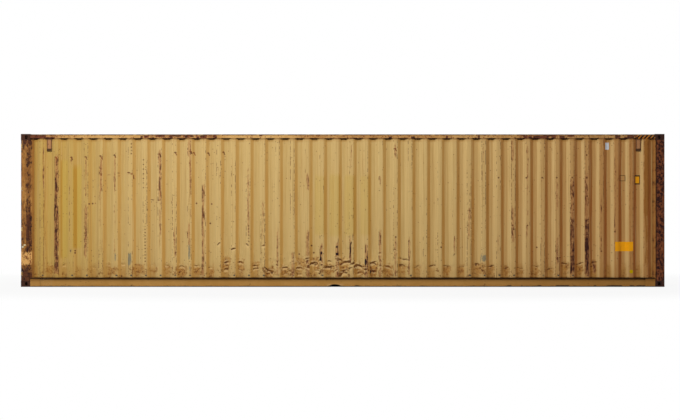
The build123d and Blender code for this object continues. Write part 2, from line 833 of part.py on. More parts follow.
def doors():
    """Two leaves, each with its own set of fittings."""
    levers, catches = handle_parts()
    parts = {
        "frame": [leaf_frame()],
        "panel": [leaf_panel()],
        "seal": [leaf_seal()],
        "hinges": hinge_blades(),
        "locking_bars": locking_bars(),
        "bar_brackets": bar_brackets(),
        "handles": levers,
        "handle_catches": catches,
    }
    for name, shapes in parts.items():
        keep(f"near_door_{name}", shapes)
        keep(f"far_door_{name}", [far(shape) for shape in shapes])


def ventilators():
    """Hooded covers high in the end recesses of both side walls."""
    recess = RIDGE_FACE + RIDGE_DEPTH
    covers = []
    for number in VENT_RECESSES:
        x = REAR + FIRST_RIDGE + RIDGE_PITCH * (number + 0.5)
        body = block(
            (x - VENT_WIDTH / 2, x + VENT_WIDTH / 2),
            (NEAR + VENT_FACE, NEAR + VENT_FACE + VENT_BODY),
            (VENT_HIGH - VENT_HEIGHT, VENT_HIGH),
        )
        foot = block(
            (x - VENT_FOOT_WIDTH / 2, x + VENT_FOOT_WIDTH / 2),
            (NEAR + VENT_FACE + VENT_BODY, NEAR + recess),
            (VENT_HIGH - VENT_HEIGHT, VENT_HIGH),
        )
        covers.append(body + foot)
    keep("ventilators", both_sides(covers))


def build():
    corner_fittings()
    corner_posts()
    side_walls()
    front_wall()
    top_rails()
    bottom_rails()
    front_sill()
    roof()
    underframe()
    gooseneck_tunnel()
    floor()
    door_beams()
    hinge_lugs()
    keepers()
    doors()
    ventilators()


build()
os.makedirs("parts", exist_ok=True)
for node, shape in NODES.items():
    export_step(shape, f"parts/{node}.step")
print(len(NODES), "nodes")
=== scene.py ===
# %% [markdown]
# # A long freight container in worn ochre paint
# The real object is a steel box about twelve metres long. Its side is one corrugated sheet
# between two corner posts and two rails, and every corner ends in a hollow casting. Years of
# stacking and hauling have left rust runs on the ridges, dirt in the recesses and dents near
# the bottom rail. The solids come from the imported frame. This lesson dresses them: it remakes
# the pieces whose surface is dented, adds the small parts, and mixes a paint for each finish.

import math

import bmesh
import bpy
import numpy as np
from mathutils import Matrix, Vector


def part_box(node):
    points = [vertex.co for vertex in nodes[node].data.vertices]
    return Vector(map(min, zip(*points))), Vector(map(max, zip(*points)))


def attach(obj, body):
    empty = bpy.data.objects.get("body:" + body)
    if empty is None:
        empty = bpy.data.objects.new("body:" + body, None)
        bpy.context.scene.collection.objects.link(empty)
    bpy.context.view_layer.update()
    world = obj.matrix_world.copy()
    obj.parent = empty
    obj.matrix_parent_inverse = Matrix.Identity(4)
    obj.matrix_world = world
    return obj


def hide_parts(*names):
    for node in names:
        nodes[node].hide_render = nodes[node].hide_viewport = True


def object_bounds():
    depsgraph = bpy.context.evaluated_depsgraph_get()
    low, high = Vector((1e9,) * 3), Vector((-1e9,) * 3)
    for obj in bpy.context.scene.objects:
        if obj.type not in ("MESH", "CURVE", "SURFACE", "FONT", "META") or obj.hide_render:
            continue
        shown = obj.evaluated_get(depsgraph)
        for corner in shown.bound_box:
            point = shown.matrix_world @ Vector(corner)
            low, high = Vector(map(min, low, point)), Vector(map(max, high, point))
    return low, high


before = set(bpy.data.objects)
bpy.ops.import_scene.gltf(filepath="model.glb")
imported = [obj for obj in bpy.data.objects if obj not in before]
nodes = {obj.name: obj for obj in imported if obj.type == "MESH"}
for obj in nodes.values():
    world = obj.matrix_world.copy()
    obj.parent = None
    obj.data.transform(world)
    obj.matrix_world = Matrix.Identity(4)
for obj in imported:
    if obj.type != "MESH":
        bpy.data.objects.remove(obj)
cad_low, cad_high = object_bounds()
REAR, FRONT, NEAR, TOP = cad_low.x, cad_high.x, cad_low.y, cad_high.z
print("frame:", len(nodes), "nodes, box", tuple(round(v, 3) for v in cad_high - cad_low))

# %% [markdown]
# ## Camera
# The photograph looks squarely at the long side from about 25 metres. A long lens at that
# distance keeps the ridges at both ends nearly as wide as those in the middle. An
# orthographic camera would be simpler, but then the posts would not show their slight turn.

# %% Camera
def link_new(name, data):
    """An object for some data, linked to the scene."""
    thing = bpy.data.objects.new(name, data)
    bpy.context.scene.collection.objects.link(thing)
    return thing


def place_camera(distance, lens, aside, height):
    data = bpy.data.cameras.new("side_camera")
    data.lens, data.sensor_width, data.clip_end = lens, 36, 400
    camera = link_new("side_camera", data)
    camera.location = (aside, NEAR - distance, height)
    camera.rotation_euler = (math.radians(90), 0, 0)
    bpy.context.scene.camera = camera
    return camera


camera = place_camera(distance=25.05, lens=70.04, aside=-0.051, height=1.456)
bpy.context.scene.view_settings.view_transform = "Standard"
print("camera at", tuple(round(v, 3) for v in camera.location))

# %% [markdown]
# ## Finding a place from the side view
# Wear is easiest to note down as seen from the side: so far along, so far down. One ridge is
# 14.8 picture units wide and 279 millimetres long, and that ratio turns a note into a place on
# the box. Heights use their own ratio, because the picture is stretched upwards.

# %% Notes to places
PITCH, FIRST_RIDGE = 0.279, 0.398
RIDGE_SEEN, FIRST_SEEN, GROUND_SEEN = 14.777, 41.8, 294.3
UNIT, UNIT_UP = PITCH / RIDGE_SEEN, 0.01726


def along(x):
    """Place along the box, in metres, of a note's distance from the left."""
    return REAR + FIRST_RIDGE + (x - FIRST_SEEN) * UNIT


def up(y):
    """Height above the ground, in metres, of a note's distance from the top."""
    return (GROUND_SEEN - y) * UNIT_UP


print("left post at", round(along(22), 2), "m, foot of the sheet", round(up(283.8), 2), "m up")

# %% [markdown]
# ## Shader maths
# A weathered paint is a long sum of masks. Written with raw nodes it is unreadable, so a small
# class wraps a socket and lets it be added and multiplied, each operator placing a Math node.

# %% Wires
class Wire:
    """One value inside a node tree, with arithmetic."""

    def __init__(self, maker, socket):
        self.maker = maker
        self.socket = socket

    def math(self, operation, *values):
        return self.maker.add("ShaderNodeMath", {"operation": operation}, dict(enumerate(values)))

    def __add__(self, other):
        return self.math("ADD", self, other)

    __radd__ = __add__

    def __sub__(self, other):
        return self.math("SUBTRACT", self, other)

    def __rsub__(self, other):
        return self.math("SUBTRACT", other, self)

    def __mul__(self, other):
        return self.math("MULTIPLY", self, other)

    __rmul__ = __mul__

    def __truediv__(self, other):
        return self.math("DIVIDE", self, other)

    def __pow__(self, other):
        return self.math("POWER", self, other)

    def __or__(self, other):
        return self.math("MAXIMUM", self, other)

    def size(self):
        return self.math("ABSOLUTE", self)

    def fraction(self):
        return self.math("FRACT", self)

    def within(self):
        return self.math("MINIMUM", self.math("MAXIMUM", self, 0.0), 1.0)


print("wires add, subtract, multiply, divide, take powers and find the larger of two")

# %% [markdown]
# ## Node trees
# Paints, the room's light and geometry recipes are all node trees. Most nodes come from one
# method, `add`, which sets the node's settings first and its sockets after, and gives a wire.

# %% Node trees
class Maker:
    """A node tree being built, one call for each node."""

    def __init__(self, tree):
        self.tree = tree

    def plug(self, socket, value):
        if isinstance(value, Wire):
            self.tree.links.new(value.socket, socket)
        elif isinstance(value, (tuple, list)) and len(socket.default_value) == 4:
            socket.default_value = (*value[:3], 1.0)
        else:
            socket.default_value = value

    def add(self, kind, settings=None, sockets=None, out=0):
        node = self.tree.nodes.new(kind)
        for name, value in (settings or {}).items():
            setattr(node, name, value)
        for key, value in (sockets or {}).items():
            self.plug(node.inputs[key], value)
        return Wire(self, node.outputs[out])

    def lead_out(self, kind, value):
        """The tree's output node, fed by a value."""
        self.tree.links.new(value.socket, self.tree.nodes.new(kind).inputs[0])

    def seen_plainly(self):
        """1 for rays from the camera, from a reflection and through a clear pane."""
        rays = self.tree.nodes.new("ShaderNodeLightPath")
        kinds = ("Camera", "Glossy", "Transmission")
        camera, glossy, clear = (Wire(self, rays.outputs[f"Is {kind} Ray"]) for kind in kinds)
        return camera | glossy | clear


print("trees ready")

# %% [markdown]
# ## Finishes
# A paint grows coat by coat: `cover` lays one more shade over what is there, and its share says
# where. Colours are written in the usual 0 to 255 steps and turned into the light values that
# the shader wants.

# %% Finishes
def tone(red, green, blue):
    """A colour written in the usual 0 to 255 steps, as the shader wants it."""
    parts = [v / 255 for v in (red, green, blue)]
    return tuple(v / 12.92 if v <= 0.04045 else ((v + 0.055) / 1.055) ** 2.4 for v in parts)


class Finish(Maker):
    """A material being mixed, on one Principled shader."""

    def __init__(self, name, **fixed):
        self.material = bpy.data.materials.new(name)
        self.material.use_nodes = True
        super().__init__(self.material.node_tree)
        self.tree.nodes.clear()
        self.shader = self.tree.nodes.new("ShaderNodeBsdfPrincipled")
        self.lead_out("ShaderNodeOutputMaterial", Wire(self, self.shader.outputs[0]))
        for socket, value in fixed.items():
            self.plug(self.shader.inputs[socket.replace("_", " ")], value)
        self.place = self.add("ShaderNodeTexCoord", out="Object")
        self.x, self.y, self.z = self.apart(self.place)

    def mix(self, share, first, second):
        """Colour between two, by share."""
        kind = {"data_type": "RGBA", "clamp_factor": True}
        return self.add("ShaderNodeMix", kind, {0: share, 6: first, 7: second}, out=2)

    def blend(self, share, first, second):
        """Colour between two shades written in 0 to 255 steps."""
        return self.mix(share, tone(*first), tone(*second))

    def cover(self, share, shade, other=None, by=None):
        """Lays a shade over the coat, by share; where another is given, `by` mixes it in."""
        if other is not None:
            shade = self.blend(by, shade, other)
        elif not isinstance(shade, Wire):
            shade = tone(*shade)
        self.coat = self.mix(share, self.coat, shade)

    def noise(self, scale, detail=3.0, rough=0.55, where=None):
        sockets = {"Scale": scale, "Detail": detail, "Roughness": rough}
        return self.add("ShaderNodeTexNoise", None, {"Vector": where or self.place, **sockets})

    def streaks(self, scale, detail=3.0, rough=0.6, shift=(0, 0, 0)):
        """Noise with a scale of its own along each axis."""
        sockets = {"Vector": self.place, "Scale": scale, "Location": shift}
        return self.noise(1.0, detail, rough, self.add("ShaderNodeMapping", None, sockets))

    def rise(self, value, low, high):
        """0 below low, 1 above high, smooth between; falls instead where low is the larger."""
        sockets = {"Value": value, "From Min": low, "From Max": high}
        return self.add("ShaderNodeMapRange", {"interpolation_type": "SMOOTHSTEP"}, sockets)

    def band(self, value, low, high, soft):
        """1 between low and high, with soft edges."""
        return self.rise(value, low - soft, low + soft) * self.rise(value, high + soft, high - soft)

    def dots(self, scale, radius, share):
        """Round spots, one in each cell, in the given share of the cells."""
        cells = self.tree.nodes.new("ShaderNodeTexVoronoi")
        self.plug(cells.inputs["Vector"], self.place)
        cells.inputs["Scale"].default_value = scale
        number = self.apart(Wire(self, cells.outputs["Color"]), "Color")[0]
        near = self.rise(Wire(self, cells.outputs["Distance"]), radius, radius * 0.6)
        return near * self.rise(share - number, 0.0, 0.01)

    def apart(self, value, kind="XYZ"):
        """The three numbers of a place, a direction or a colour."""
        parts = self.tree.nodes.new("ShaderNodeSeparate" + kind)
        self.tree.links.new(value.socket, parts.inputs[0])
        return [Wire(self, s) for s in parts.outputs]

    def luck(self, number, seed):
        """A number from 0 to 1 that stays the same for each whole number."""
        return self.add("ShaderNodeTexWhiteNoise", {"noise_dimensions": "1D"}, {"W": number + seed})

    def attribute(self, name):
        """The three numbers kept on the mesh under a name."""
        kept = self.add("ShaderNodeAttribute", {"attribute_name": name}, out="Color")
        return self.apart(kept, "Color")

    def strongest(self, masks, start=None):
        """The largest of many masks, point by point."""
        found = 0.0 * self.x if start is None else start
        for mask in masks:
            found = found | mask
        return found

    def finish(self, roughness, height, depth, strength, metallic=None):
        """The material, with its coat, its dullness and a bump of the given depth in metres."""
        self.plug(self.shader.inputs["Base Color"], self.coat)
        self.plug(self.shader.inputs["Roughness"], roughness)
        if metallic is not None:
            self.plug(self.shader.inputs["Metallic"], metallic)
        sockets = {"Strength": strength, "Distance": depth, "Height": height}
        self.plug(self.shader.inputs["Normal"], self.add("ShaderNodeBump", None, sockets))
        return self.material


print("a mid ochre is", tuple(round(v, 3) for v in tone(193, 163, 106)))

# %% [markdown]
# ## Floor and light
# The picture has a white ground and one strong soft lamp, high to the left of the middle, so the
# paint gets darker towards the right end. A sun would light both ends alike. A large disc lamp
# falls off with distance as the real one does. Weaker lamps behind and beside the box light the
# sides that the picture hides, and they stand where they cannot reach the side in view.

# %% Floor, world and lamps
FLOOR_HALF, SHADOW_X, SHADOW_Y = 90, 8.5, 4.0


def lay_floor():
    """Pale floor that looks white to the camera and still takes the shadow of the box."""
    bm = bmesh.new()
    bmesh.ops.create_grid(bm, x_segments=2, y_segments=2, size=FLOOR_HALF)
    mesh = bpy.data.meshes.new("pale_floor")
    bm.to_mesh(mesh)
    bm.free()
    floor = link_new("pale_floor", mesh)
    floor.location.z = -0.0005
    look = Finish("pale_floor_paint", Roughness=0.9, Base_Color=(0.4, 0.4, 0.4))
    reach = ((look.x / SHADOW_X) ** 2.0 + (look.y / SHADOW_Y) ** 2.0) ** 0.5
    outside = look.rise((look.x.size() - FRONT) | (look.y.size() + NEAR), -0.02, 0.0)
    share = look.seen_plainly() * outside * (0.9 + 0.1 * look.rise(reach, 0.9, 1.5))
    glow = look.add("ShaderNodeEmission", None, {"Color": (1, 1, 1), "Strength": 1.0})
    shaders = {0: share, 1: Wire(look, look.shader.outputs[0]), 2: glow}
    mixed = look.add("ShaderNodeMixShader", None, shaders)
    output = next(n for n in look.tree.nodes if n.type == "OUTPUT_MATERIAL")
    look.tree.links.new(mixed.socket, output.inputs[0])
    mesh.materials.append(look.material)


def light_world(level):
    """Weak even light, and plain white wherever the camera or a reflection looks past the box."""
    world = bpy.data.worlds.new("pale_room")
    world.use_nodes = True
    room = Maker(world.node_tree)
    room.tree.nodes.clear()
    strength = room.add("ShaderNodeMapRange", None, {"Value": room.seen_plainly(), "To Min": level})
    sky = room.add("ShaderNodeBackground", None, {"Color": (1, 1, 1), "Strength": strength})
    room.lead_out("ShaderNodeOutputWorld", sky)
    bpy.context.scene.world = world


def hang_lamp(name, where, aim, size, watts):
    data = bpy.data.lights.new(name, "AREA")
    data.shape, data.size, data.energy = "DISK", size, watts
    lamp = link_new(name, data)
    lamp.location = where
    lamp.rotation_mode = "QUATERNION"
    lamp.rotation_quaternion = (Vector(aim) - Vector(where)).to_track_quat("-Z", "Y")
    lamp.visible_camera = lamp.visible_glossy = False


lay_floor()
light_world(level=0.08)
hang_lamp("key_lamp", (-4.4, NEAR - 12.7, 10.6), (-0.6, NEAR, 1.3), size=3.6, watts=2150)
hang_lamp("door_lamp", (-16, 1.0, 6), (-6, 1.0, 1.4), size=4.0, watts=1400)
hang_lamp("back_lamp", (3, 14, 9), (0, 1.2, 1.4), size=6.0, watts=2200)
hang_lamp("front_lamp", (16, 2.0, 6), (6, 1.0, 1.4), size=4.0, watts=1100)
print("one key lamp and three behind it")

# %% [markdown]
# ## What has happened to the side
# Rust starts where chains and other boxes strike the ridges, and rain pulls it down in runs.
# Painting such marks at random would be quicker, but nobody who knows this side would find
# their own dents again. So each is noted as seen from the side. Runs, stains and fresh paint
# give middle, half width, top, bottom and strength. Ticks, smudges and grime give the place,
# both half sizes and strength. Hooks and marks give only the place, holes their half sizes too,
# and pinpricks a line with its top, bottom and step. Dents and puckers give the place, width,
# height and depth in millimetres, and creases are lines of places.

# %% Notes on wear
RUNS = (
    (56.3, 2.2, 200, 279, 1.04), (56.4, 1.8, 150, 206, 0.9), (43.7, 0.7, 136, 190, 0.42),
    (71.4, 1.0, 150, 160, 0.5), (86.0, 1.6, 204, 263, 0.62), (86.0, 1.0, 151, 200, 0.46),
    (101.2, 1.3, 151, 188, 0.84), (100.2, 0.9, 188, 232, 0.5), (115.0, 0.9, 149, 191, 0.84),
    (115.0, 0.9, 189, 236, 0.42), (114.6, 0.9, 238, 258, 0.5), (160.2, 1.6, 144, 200, 0.78),
    (160.4, 1.4, 200, 240, 0.45), (175.0, 1.5, 226, 262, 0.5), (190.0, 1.9, 133, 150, 0.95),
    (190.6, 1.1, 150, 186, 0.7), (189.6, 1.7, 222, 252, 0.56), (203.6, 1.7, 180, 283, 0.56),
    (219.0, 1.3, 160, 180, 0.42), (249.0, 1.3, 160, 244, 0.5), (263.8, 1.2, 200, 246, 0.46),
    (278.4, 1.2, 228, 284, 0.6), (293.5, 1.6, 256, 284, 0.72), (308.4, 1.6, 168, 190, 0.62),
    (308.4, 1.7, 230, 284, 0.62), (322.4, 1.7, 247, 272, 0.86), (337.7, 1.8, 246, 284, 0.8),
    (351.4, 1.0, 243, 268, 1.2), (352.3, 1.0, 136, 165, 0.45), (367.2, 1.6, 247, 284, 0.8),
    (381.2, 1.3, 170, 184, 0.6), (381.2, 1.7, 230, 284, 0.64), (396.3, 1.1, 138, 152, 0.75),
    (396.6, 1.3, 240, 283, 0.6), (410.5, 1.3, 240, 283, 0.5), (455.5, 1.3, 236, 262, 0.5),
    (470.3, 1.6, 205, 246, 0.5), (484.6, 1.0, 136, 176, 0.4), (499.5, 1.0, 234, 258, 0.48),
    (514.2, 1.4, 131, 156, 0.62), (514.4, 1.7, 206, 246, 0.68), (529.0, 1.2, 136, 240, 0.4),
    (543.5, 1.0, 226, 258, 0.42), (558.7, 1.5, 176, 216, 0.48), (558.9, 1.4, 240, 270, 0.72),
    (574.0, 2.2, 232, 280, 1.18), (574.0, 2.1, 174, 240, 0.62), (588.7, 2.2, 222, 281, 1.2),
    (588.4, 2.0, 168, 230, 0.7), (596.2, 1.6, 266, 279, 1.05), (602.8, 1.0, 190, 262, 0.5),
    (617.0, 0.8, 150, 262, 0.45),
)
STAINS = (
    (648.6, 2.6, 131, 214, 1.15), (648.2, 2.2, 200, 272, 0.62), (44.0, 2.6, 140, 284, 0.4),
    (588.0, 2.4, 170, 284, 0.5), (574.0, 2.4, 174, 284, 0.45), (160.5, 2.2, 140, 262, 0.35),
    (100.8, 2.4, 148, 262, 0.35), (204.0, 3.0, 172, 284, 0.35), (86.0, 2.4, 200, 270, 0.35),
    (632.0, 1.6, 132, 284, 0.42), (337.7, 3.0, 246, 284, 0.34), (367.0, 3.0, 246, 284, 0.32),
    (322.4, 2.8, 244, 284, 0.3), (190.2, 1.9, 152, 284, 0.42), (308.4, 2.6, 230, 284, 0.3),
)
REPAINT = (
    (64.3, 3.9, 155, 263, 0.95), (77.2, 4.5, 160, 252, 1.0), (336.0, 5.8, 168, 242, 0.6),
    (351.0, 5.8, 172, 241, 0.6), (366.4, 5.4, 172, 241, 0.5), (321.0, 5.8, 172, 240, 0.5),
)
HOOKS = (
    (56.2, 152.5), (71.8, 152.6), (86.2, 152.2), (100.9, 151.2), (115.0, 150.2), (176.0, 147.4),
    (191.4, 146.0), (194.6, 147.6), (209.0, 148.0), (224.2, 147.0), (160.2, 149.0), (396.6, 143.0),
)
MARKS = (
    (500.0, 174.4), (527.8, 174.6), (543.7, 174.4), (558.3, 174.4), (573.9, 174.4), (588.3, 174.4),
    (588.3, 149.6), (196.8, 202.6), (212.0, 203.4), (210.6, 224.6), (92.4, 202.9), (89.2, 203.3),
    (70.6, 254.8), (75.0, 254.6), (75.0, 257.0), (514.0, 226.8), (515.2, 231.0), (538.5, 251.0),
    (477.4, 270.4), (529.0, 227.0), (559.2, 262.6), (561.4, 262.2), (603.0, 255.2), (616.6, 233.6),
    (300.0, 258.4), (312.4, 249.0), (314.6, 256.8), (396.8, 239.6), (442.4, 250.8), (121.6, 282.6),
)
TICKS = (
    (129.2, 169.2, 1.9, 0.8, 1.0), (131.8, 170.4, 1.6, 0.9, 1.0), (133.6, 173.0, 0.7, 2.6, 0.9),
    (109.0, 171.4, 3.4, 0.8, 0.5), (118.6, 169.4, 2.4, 0.8, 0.56), (119.0, 172.2, 1.0, 1.8, 0.5),
    (152.4, 198.6, 2.6, 0.6, 0.62), (161.2, 192.0, 0.6, 5.0, 0.95), (159.2, 199.2, 1.8, 0.8, 0.85),
    (128.6, 168.8, 1.6, 0.9, 1.0), (133.9, 175.0, 0.7, 1.6, 0.9), (455.8, 241.0, 0.7, 4.0, 0.6),
    (172.0, 201.6, 0.8, 2.0, 0.55), (101.2, 171.0, 1.0, 2.2, 0.9), (95.2, 202.6, 0.8, 0.8, 0.8),
)
HOLES = (
    (337.7, 250.4, 1.3, 1.3), (337.7, 258.4, 1.5, 2.0), (322.2, 257.0, 1.2, 2.2),
    (321.6, 263.5, 1.0, 3.5), (351.4, 253.0, 0.7, 8.0), (366.6, 267.0, 1.2, 4.6),
    (371.6, 278.0, 0.7, 2.6), (352.0, 246.0, 0.6, 2.0),
)
PINPRICKS = (
    (143.7, 153, 188, 5.1), (145.4, 228, 268, 3.5), (131.6, 136, 150, 3.6), (249.2, 226, 246, 3.4),
)
SMUDGES = (
    (129.8, 264.0, 1.9, 7.5, 1.0), (484.6, 262.6, 4.4, 4.4, 0.8), (189.6, 256.0, 1.5, 10.0, 0.9),
    (70.8, 255.5, 1.2, 4.0, 0.8), (115.6, 262.0, 0.9, 5.0, 0.7), (190.2, 274.0, 0.9, 4.0, 0.6),
    (98.4, 184.0, 0.9, 3.0, 0.4), (115.8, 212.0, 0.8, 3.0, 0.5), (175.6, 244.0, 0.9, 8.0, 0.5),
)
DENTS = (
    (64, 266, 4.5, 5, 7), (108, 266, 4.5, 5, 7), (123, 265, 4.5, 6, 7), (226, 262, 3, 9, 9),
    (239, 262, 3, 8, 9), (270.8, 262, 3, 10, 8), (300, 262, 4, 8, 9), (315, 258, 3.5, 9, 12),
    (330, 256, 4, 10, 10), (344, 256, 4, 10, 12), (358, 258, 4.5, 8, 10), (374, 258, 4, 8, 10),
    (388, 262, 4, 8, 8),
)
PUCKERS = (
    (219.0, 247.4, 1.8, 6, 17), (233.8, 251.6, 2.4, 7, 18), (248.0, 247.4, 1.8, 8, 18),
    (263.8, 248.6, 2.1, 5, 17), (226.6, 266.6, 3.0, 6, 13), (241.0, 266.8, 2.6, 6, 16),
    (256.0, 269.8, 3.4, 3, 12), (256.4, 273.2, 3.4, 8, 13), (271.0, 276.0, 4.8, 8, 15),
    (285.6, 272.8, 3.0, 9, 17), (300.0, 272.6, 3.6, 9, 16), (307.8, 262.8, 2.2, 9, 16),
    (315.0, 268.4, 3.6, 8, 17), (329.4, 272.4, 4.4, 9, 18), (338.8, 264.0, 2.6, 7, 18),
    (347.0, 266.6, 4.6, 9, 20), (353.0, 268.2, 2.6, 9, 17), (360.4, 271.0, 4.2, 8, 18),
    (374.6, 267.6, 3.4, 10, 18), (389.0, 272.0, 4.0, 8, 15), (403.4, 270.0, 3.0, 9, 13),
    (418.6, 272.0, 3.2, 8, 9), (433.2, 271.0, 3.4, 8, 10), (448.2, 270.8, 3.4, 9, 11),
    (462.6, 272.0, 3.0, 8, 9), (477.8, 269.6, 2.6, 8, 12), (492.6, 271.6, 3.0, 8, 11),
    (507.0, 273.0, 3.0, 8, 9), (521.4, 274.0, 3.0, 7, 9), (537.2, 272.0, 3.0, 8, 11),
    (552.0, 273.6, 3.0, 7, 8), (566.6, 267.8, 2.8, 7, 12), (581.8, 268.4, 3.0, 9, 13),
    (596.0, 267.0, 2.2, 9, 15), (182.0, 272.0, 3.6, 8, 11), (197.6, 270.6, 3.6, 8, 12),
    (211.4, 272.4, 3.0, 8, 9), (167.0, 270.0, 2.6, 8, 9), (152.6, 269.4, 2.6, 8, 7),
    (123.4, 268.6, 2.8, 5, 10), (108.2, 269.4, 2.8, 4, 9), (94.0, 272.6, 2.6, 7, 8),
    (64.2, 269.4, 3.2, 4, 8), (50.0, 268.6, 2.8, 6, 7), (137.6, 271.0, 2.6, 6, 7),
    (484.6, 272.0, 2.0, 9, 11), (456.0, 258.0, 1.3, 9, 8), (278.0, 270.0, 1.6, 5, 12),
    (293.4, 266.4, 1.6, 5, 12), (308.8, 271.6, 1.8, 5, 14), (322.6, 269.0, 1.9, 6, 15),
    (337.0, 275.0, 2.2, 6, 15), (351.8, 273.8, 2.0, 6, 14), (366.6, 274.6, 2.0, 6, 13),
    (381.0, 257.0, 2.0, 6, 12), (381.4, 270.6, 1.8, 5, 12), (396.4, 252.6, 1.9, 6, 12),
    (344.4, 275.4, 3.4, 4, 14), (330.6, 265.6, 2.8, 4, 12), (318.2, 275.8, 2.8, 4, 13),
    (300.4, 280.0, 3.0, 3, 12), (286.4, 279.0, 2.6, 3, 10), (374.8, 276.6, 2.4, 4, 13),
    (360.2, 277.6, 2.8, 4, 12), (241.0, 274.6, 2.6, 5, 12), (226.4, 275.0, 2.8, 5, 12),
)
GRIME = (
    (50, 275, 6, 6, 0.9), (107, 268, 4, 3, 0.6), (113, 277, 6, 6, 0.9), (139, 275, 7, 7, 1.0),
    (168, 276, 5, 6, 0.8), (182, 277, 6, 6, 1.1), (199, 277, 6, 5, 1.1), (213, 278, 4, 4, 0.8),
    (227, 268, 5, 8, 1.0), (242, 270, 4, 8, 0.9), (257, 270, 5, 5, 0.9), (271, 278, 6, 5, 1.1),
    (285, 276, 6, 6, 0.9), (302, 268, 6, 9, 0.9), (316, 268, 6, 8, 1.0), (330, 275, 6, 6, 1.0),
    (345, 271, 6, 9, 1.1), (361, 275, 7, 7, 1.1), (374, 274, 6, 8, 1.1), (389, 275, 6, 7, 0.9),
    (405, 275, 6, 7, 0.7), (420, 276, 4, 6, 0.6), (448, 276, 5, 6, 0.9), (462, 277, 4, 6, 0.9),
    (482, 275, 6, 7, 1.1), (493, 276, 4, 6, 0.8), (508, 276, 4, 6, 0.8), (523, 277, 4, 5, 0.7),
    (539, 276, 4, 6, 0.7), (552, 277, 4, 5, 0.7), (567, 272, 5, 6, 1.0), (582, 275, 4, 7, 1.0),
    (595, 272, 4, 8, 1.1), (88, 276, 4, 5, 0.6), (154, 276, 5, 5, 0.6),
)
CREASES = (
    ((336.4, 262.6), (340.0, 263.6), (344.0, 266.0), (349.0, 267.4), (353.4, 269.4)),
    ((309.6, 270.0), (313.0, 268.0), (317.0, 269.6), (320.6, 265.4)),
    ((324.6, 273.4), (329.0, 272.4), (334.0, 272.0), (336.4, 270.0)),
    ((355.6, 271.4), (360.0, 270.2), (364.6, 272.2)),
    ((340.4, 281.4), (344.0, 279.6), (347.4, 279.2)),
    ((265.4, 272.8), (268.6, 275.6), (272.6, 280.4)),
    ((371.2, 268.4), (374.6, 267.0), (378.4, 270.6)),
    ((401.6, 262.4), (405.0, 264.8), (408.6, 264.2)),
)
print(len(RUNS), "rust runs,", len(PUCKERS), "puckers,", len(CREASES), "creases")

# %% [markdown]
# ## The side sheet in view
# The real side is pressed sheet, 2 mm thick, with bends of a few millimetres' radius. The solid
# has sharp bends and no dents. A displaced copy of it would need far more faces than the file
# allows, so the sheet is laid out as a grid instead: columns crowd at the bends and rows crowd
# where the dents are. The notes on wear become numbers kept on the grid's points, and the paint
# reads them later.

# %% Lay out the sheet
RIDGE_FLAT, RIDGE_SLOPE, RIDGE_DEPTH, RIDGE_FACE = 0.072, 0.068, 0.036, 0.006
RIDGES, BEND, SHEET_STEEL = 42, 0.007, 0.002


def column_places(low, high):
    """Places of the columns along the box, with how deep each stands."""
    columns = [(low, 1.0)]
    foot, edge = RIDGE_FLAT / 2 + RIDGE_SLOPE, RIDGE_FLAT / 2
    lean = BEND * RIDGE_SLOPE / math.hypot(RIDGE_SLOPE, RIDGE_DEPTH)
    sink = lean / RIDGE_SLOPE
    half = [(foot + BEND, 1.0), (foot - lean / 4 + BEND / 4, 1 - sink / 4), (foot - lean, 1 - sink)]
    half += [(foot - RIDGE_SLOPE / 3, 2 / 3), (foot - RIDGE_SLOPE * 2 / 3, 1 / 3)]
    half += [(edge + lean, sink), (edge + lean / 4 - BEND / 4, sink / 4)]
    half += [(edge - BEND, 0.0), (0.010, 0.0)]
    gap = PITCH - 2 * foot
    for i in range(RIDGES):
        middle = REAR + FIRST_RIDGE + i * PITCH
        columns += [(middle - reach, deep) for reach, deep in half]
        columns += [(middle + reach, deep) for reach, deep in reversed(half)]
        if i < RIDGES - 1:
            columns += [(middle + foot + gap * share, 1.0) for share in (0.35, 0.65)]
    columns.append((high, 1.0))
    return np.array(columns)


def row_heights(low, high):
    """Heights of the rows: close at the dents, wide above them, a few under the top rail."""
    dented, scuffed, plain, shaded = 0.58, 0.86, 0.87, 2.37
    rows = [*np.arange(low, dented, 0.0175), *np.arange(dented, scuffed, 0.021)]
    return np.array(rows + [*np.arange(plain, shaded - 0.01, 0.15), *np.linspace(shaded, high, 7)])


sheet_low, sheet_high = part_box("side_wall_near")
columns = column_places(sheet_low.x, sheet_high.x)
rows = row_heights(sheet_low.z, sheet_high.z)
print(len(columns), "columns by", len(rows), "rows")

# %% [markdown]
# ## Soft shapes
# Every dent is a sum of soft shapes on the grid. A wave is smooth noise of a chosen size, with a
# seed of its own, so it comes out the same on every run. A bell fades on both sides of a place,
# and a spot fades all round it.

# %% Soft shapes on the grid
wall_x = np.repeat(columns[:, 0][None, :], len(rows), axis=0)
wall_deep = np.repeat(columns[:, 1][None, :], len(rows), axis=0)
wall_z = np.repeat(rows[:, None], len(columns), axis=1)
seen_x = FIRST_SEEN + (wall_x - REAR - FIRST_RIDGE) / UNIT
seen_y = GROUND_SEEN - wall_z / UNIT_UP
WAVES_LONG, WAVES_TALL = 12.4, 3.2


def waves(size, seed):
    """Smooth random waves of about the given size over the sheet, the same on every run."""
    cells = (int(WAVES_LONG / size) + 2, int(WAVES_TALL / size) + 2)
    heights = np.random.default_rng(seed).uniform(-1, 1, cells)
    across, high = (wall_x - REAR) / size, wall_z / size
    i, j = across.astype(int), high.astype(int)
    s, t = across - i, high - j
    s, t = s * s * (3 - 2 * s), t * t * (3 - 2 * t)
    low = heights[i, j] * (1 - s) + heights[i + 1, j] * s
    return low * (1 - t) + (heights[i, j + 1] * (1 - s) + heights[i + 1, j + 1] * s) * t


def bell(value, middle, width, power=2):
    """1 at the middle, fading on both sides; a higher power has a flatter top."""
    return np.exp(-np.abs((value - middle) / width) ** power)


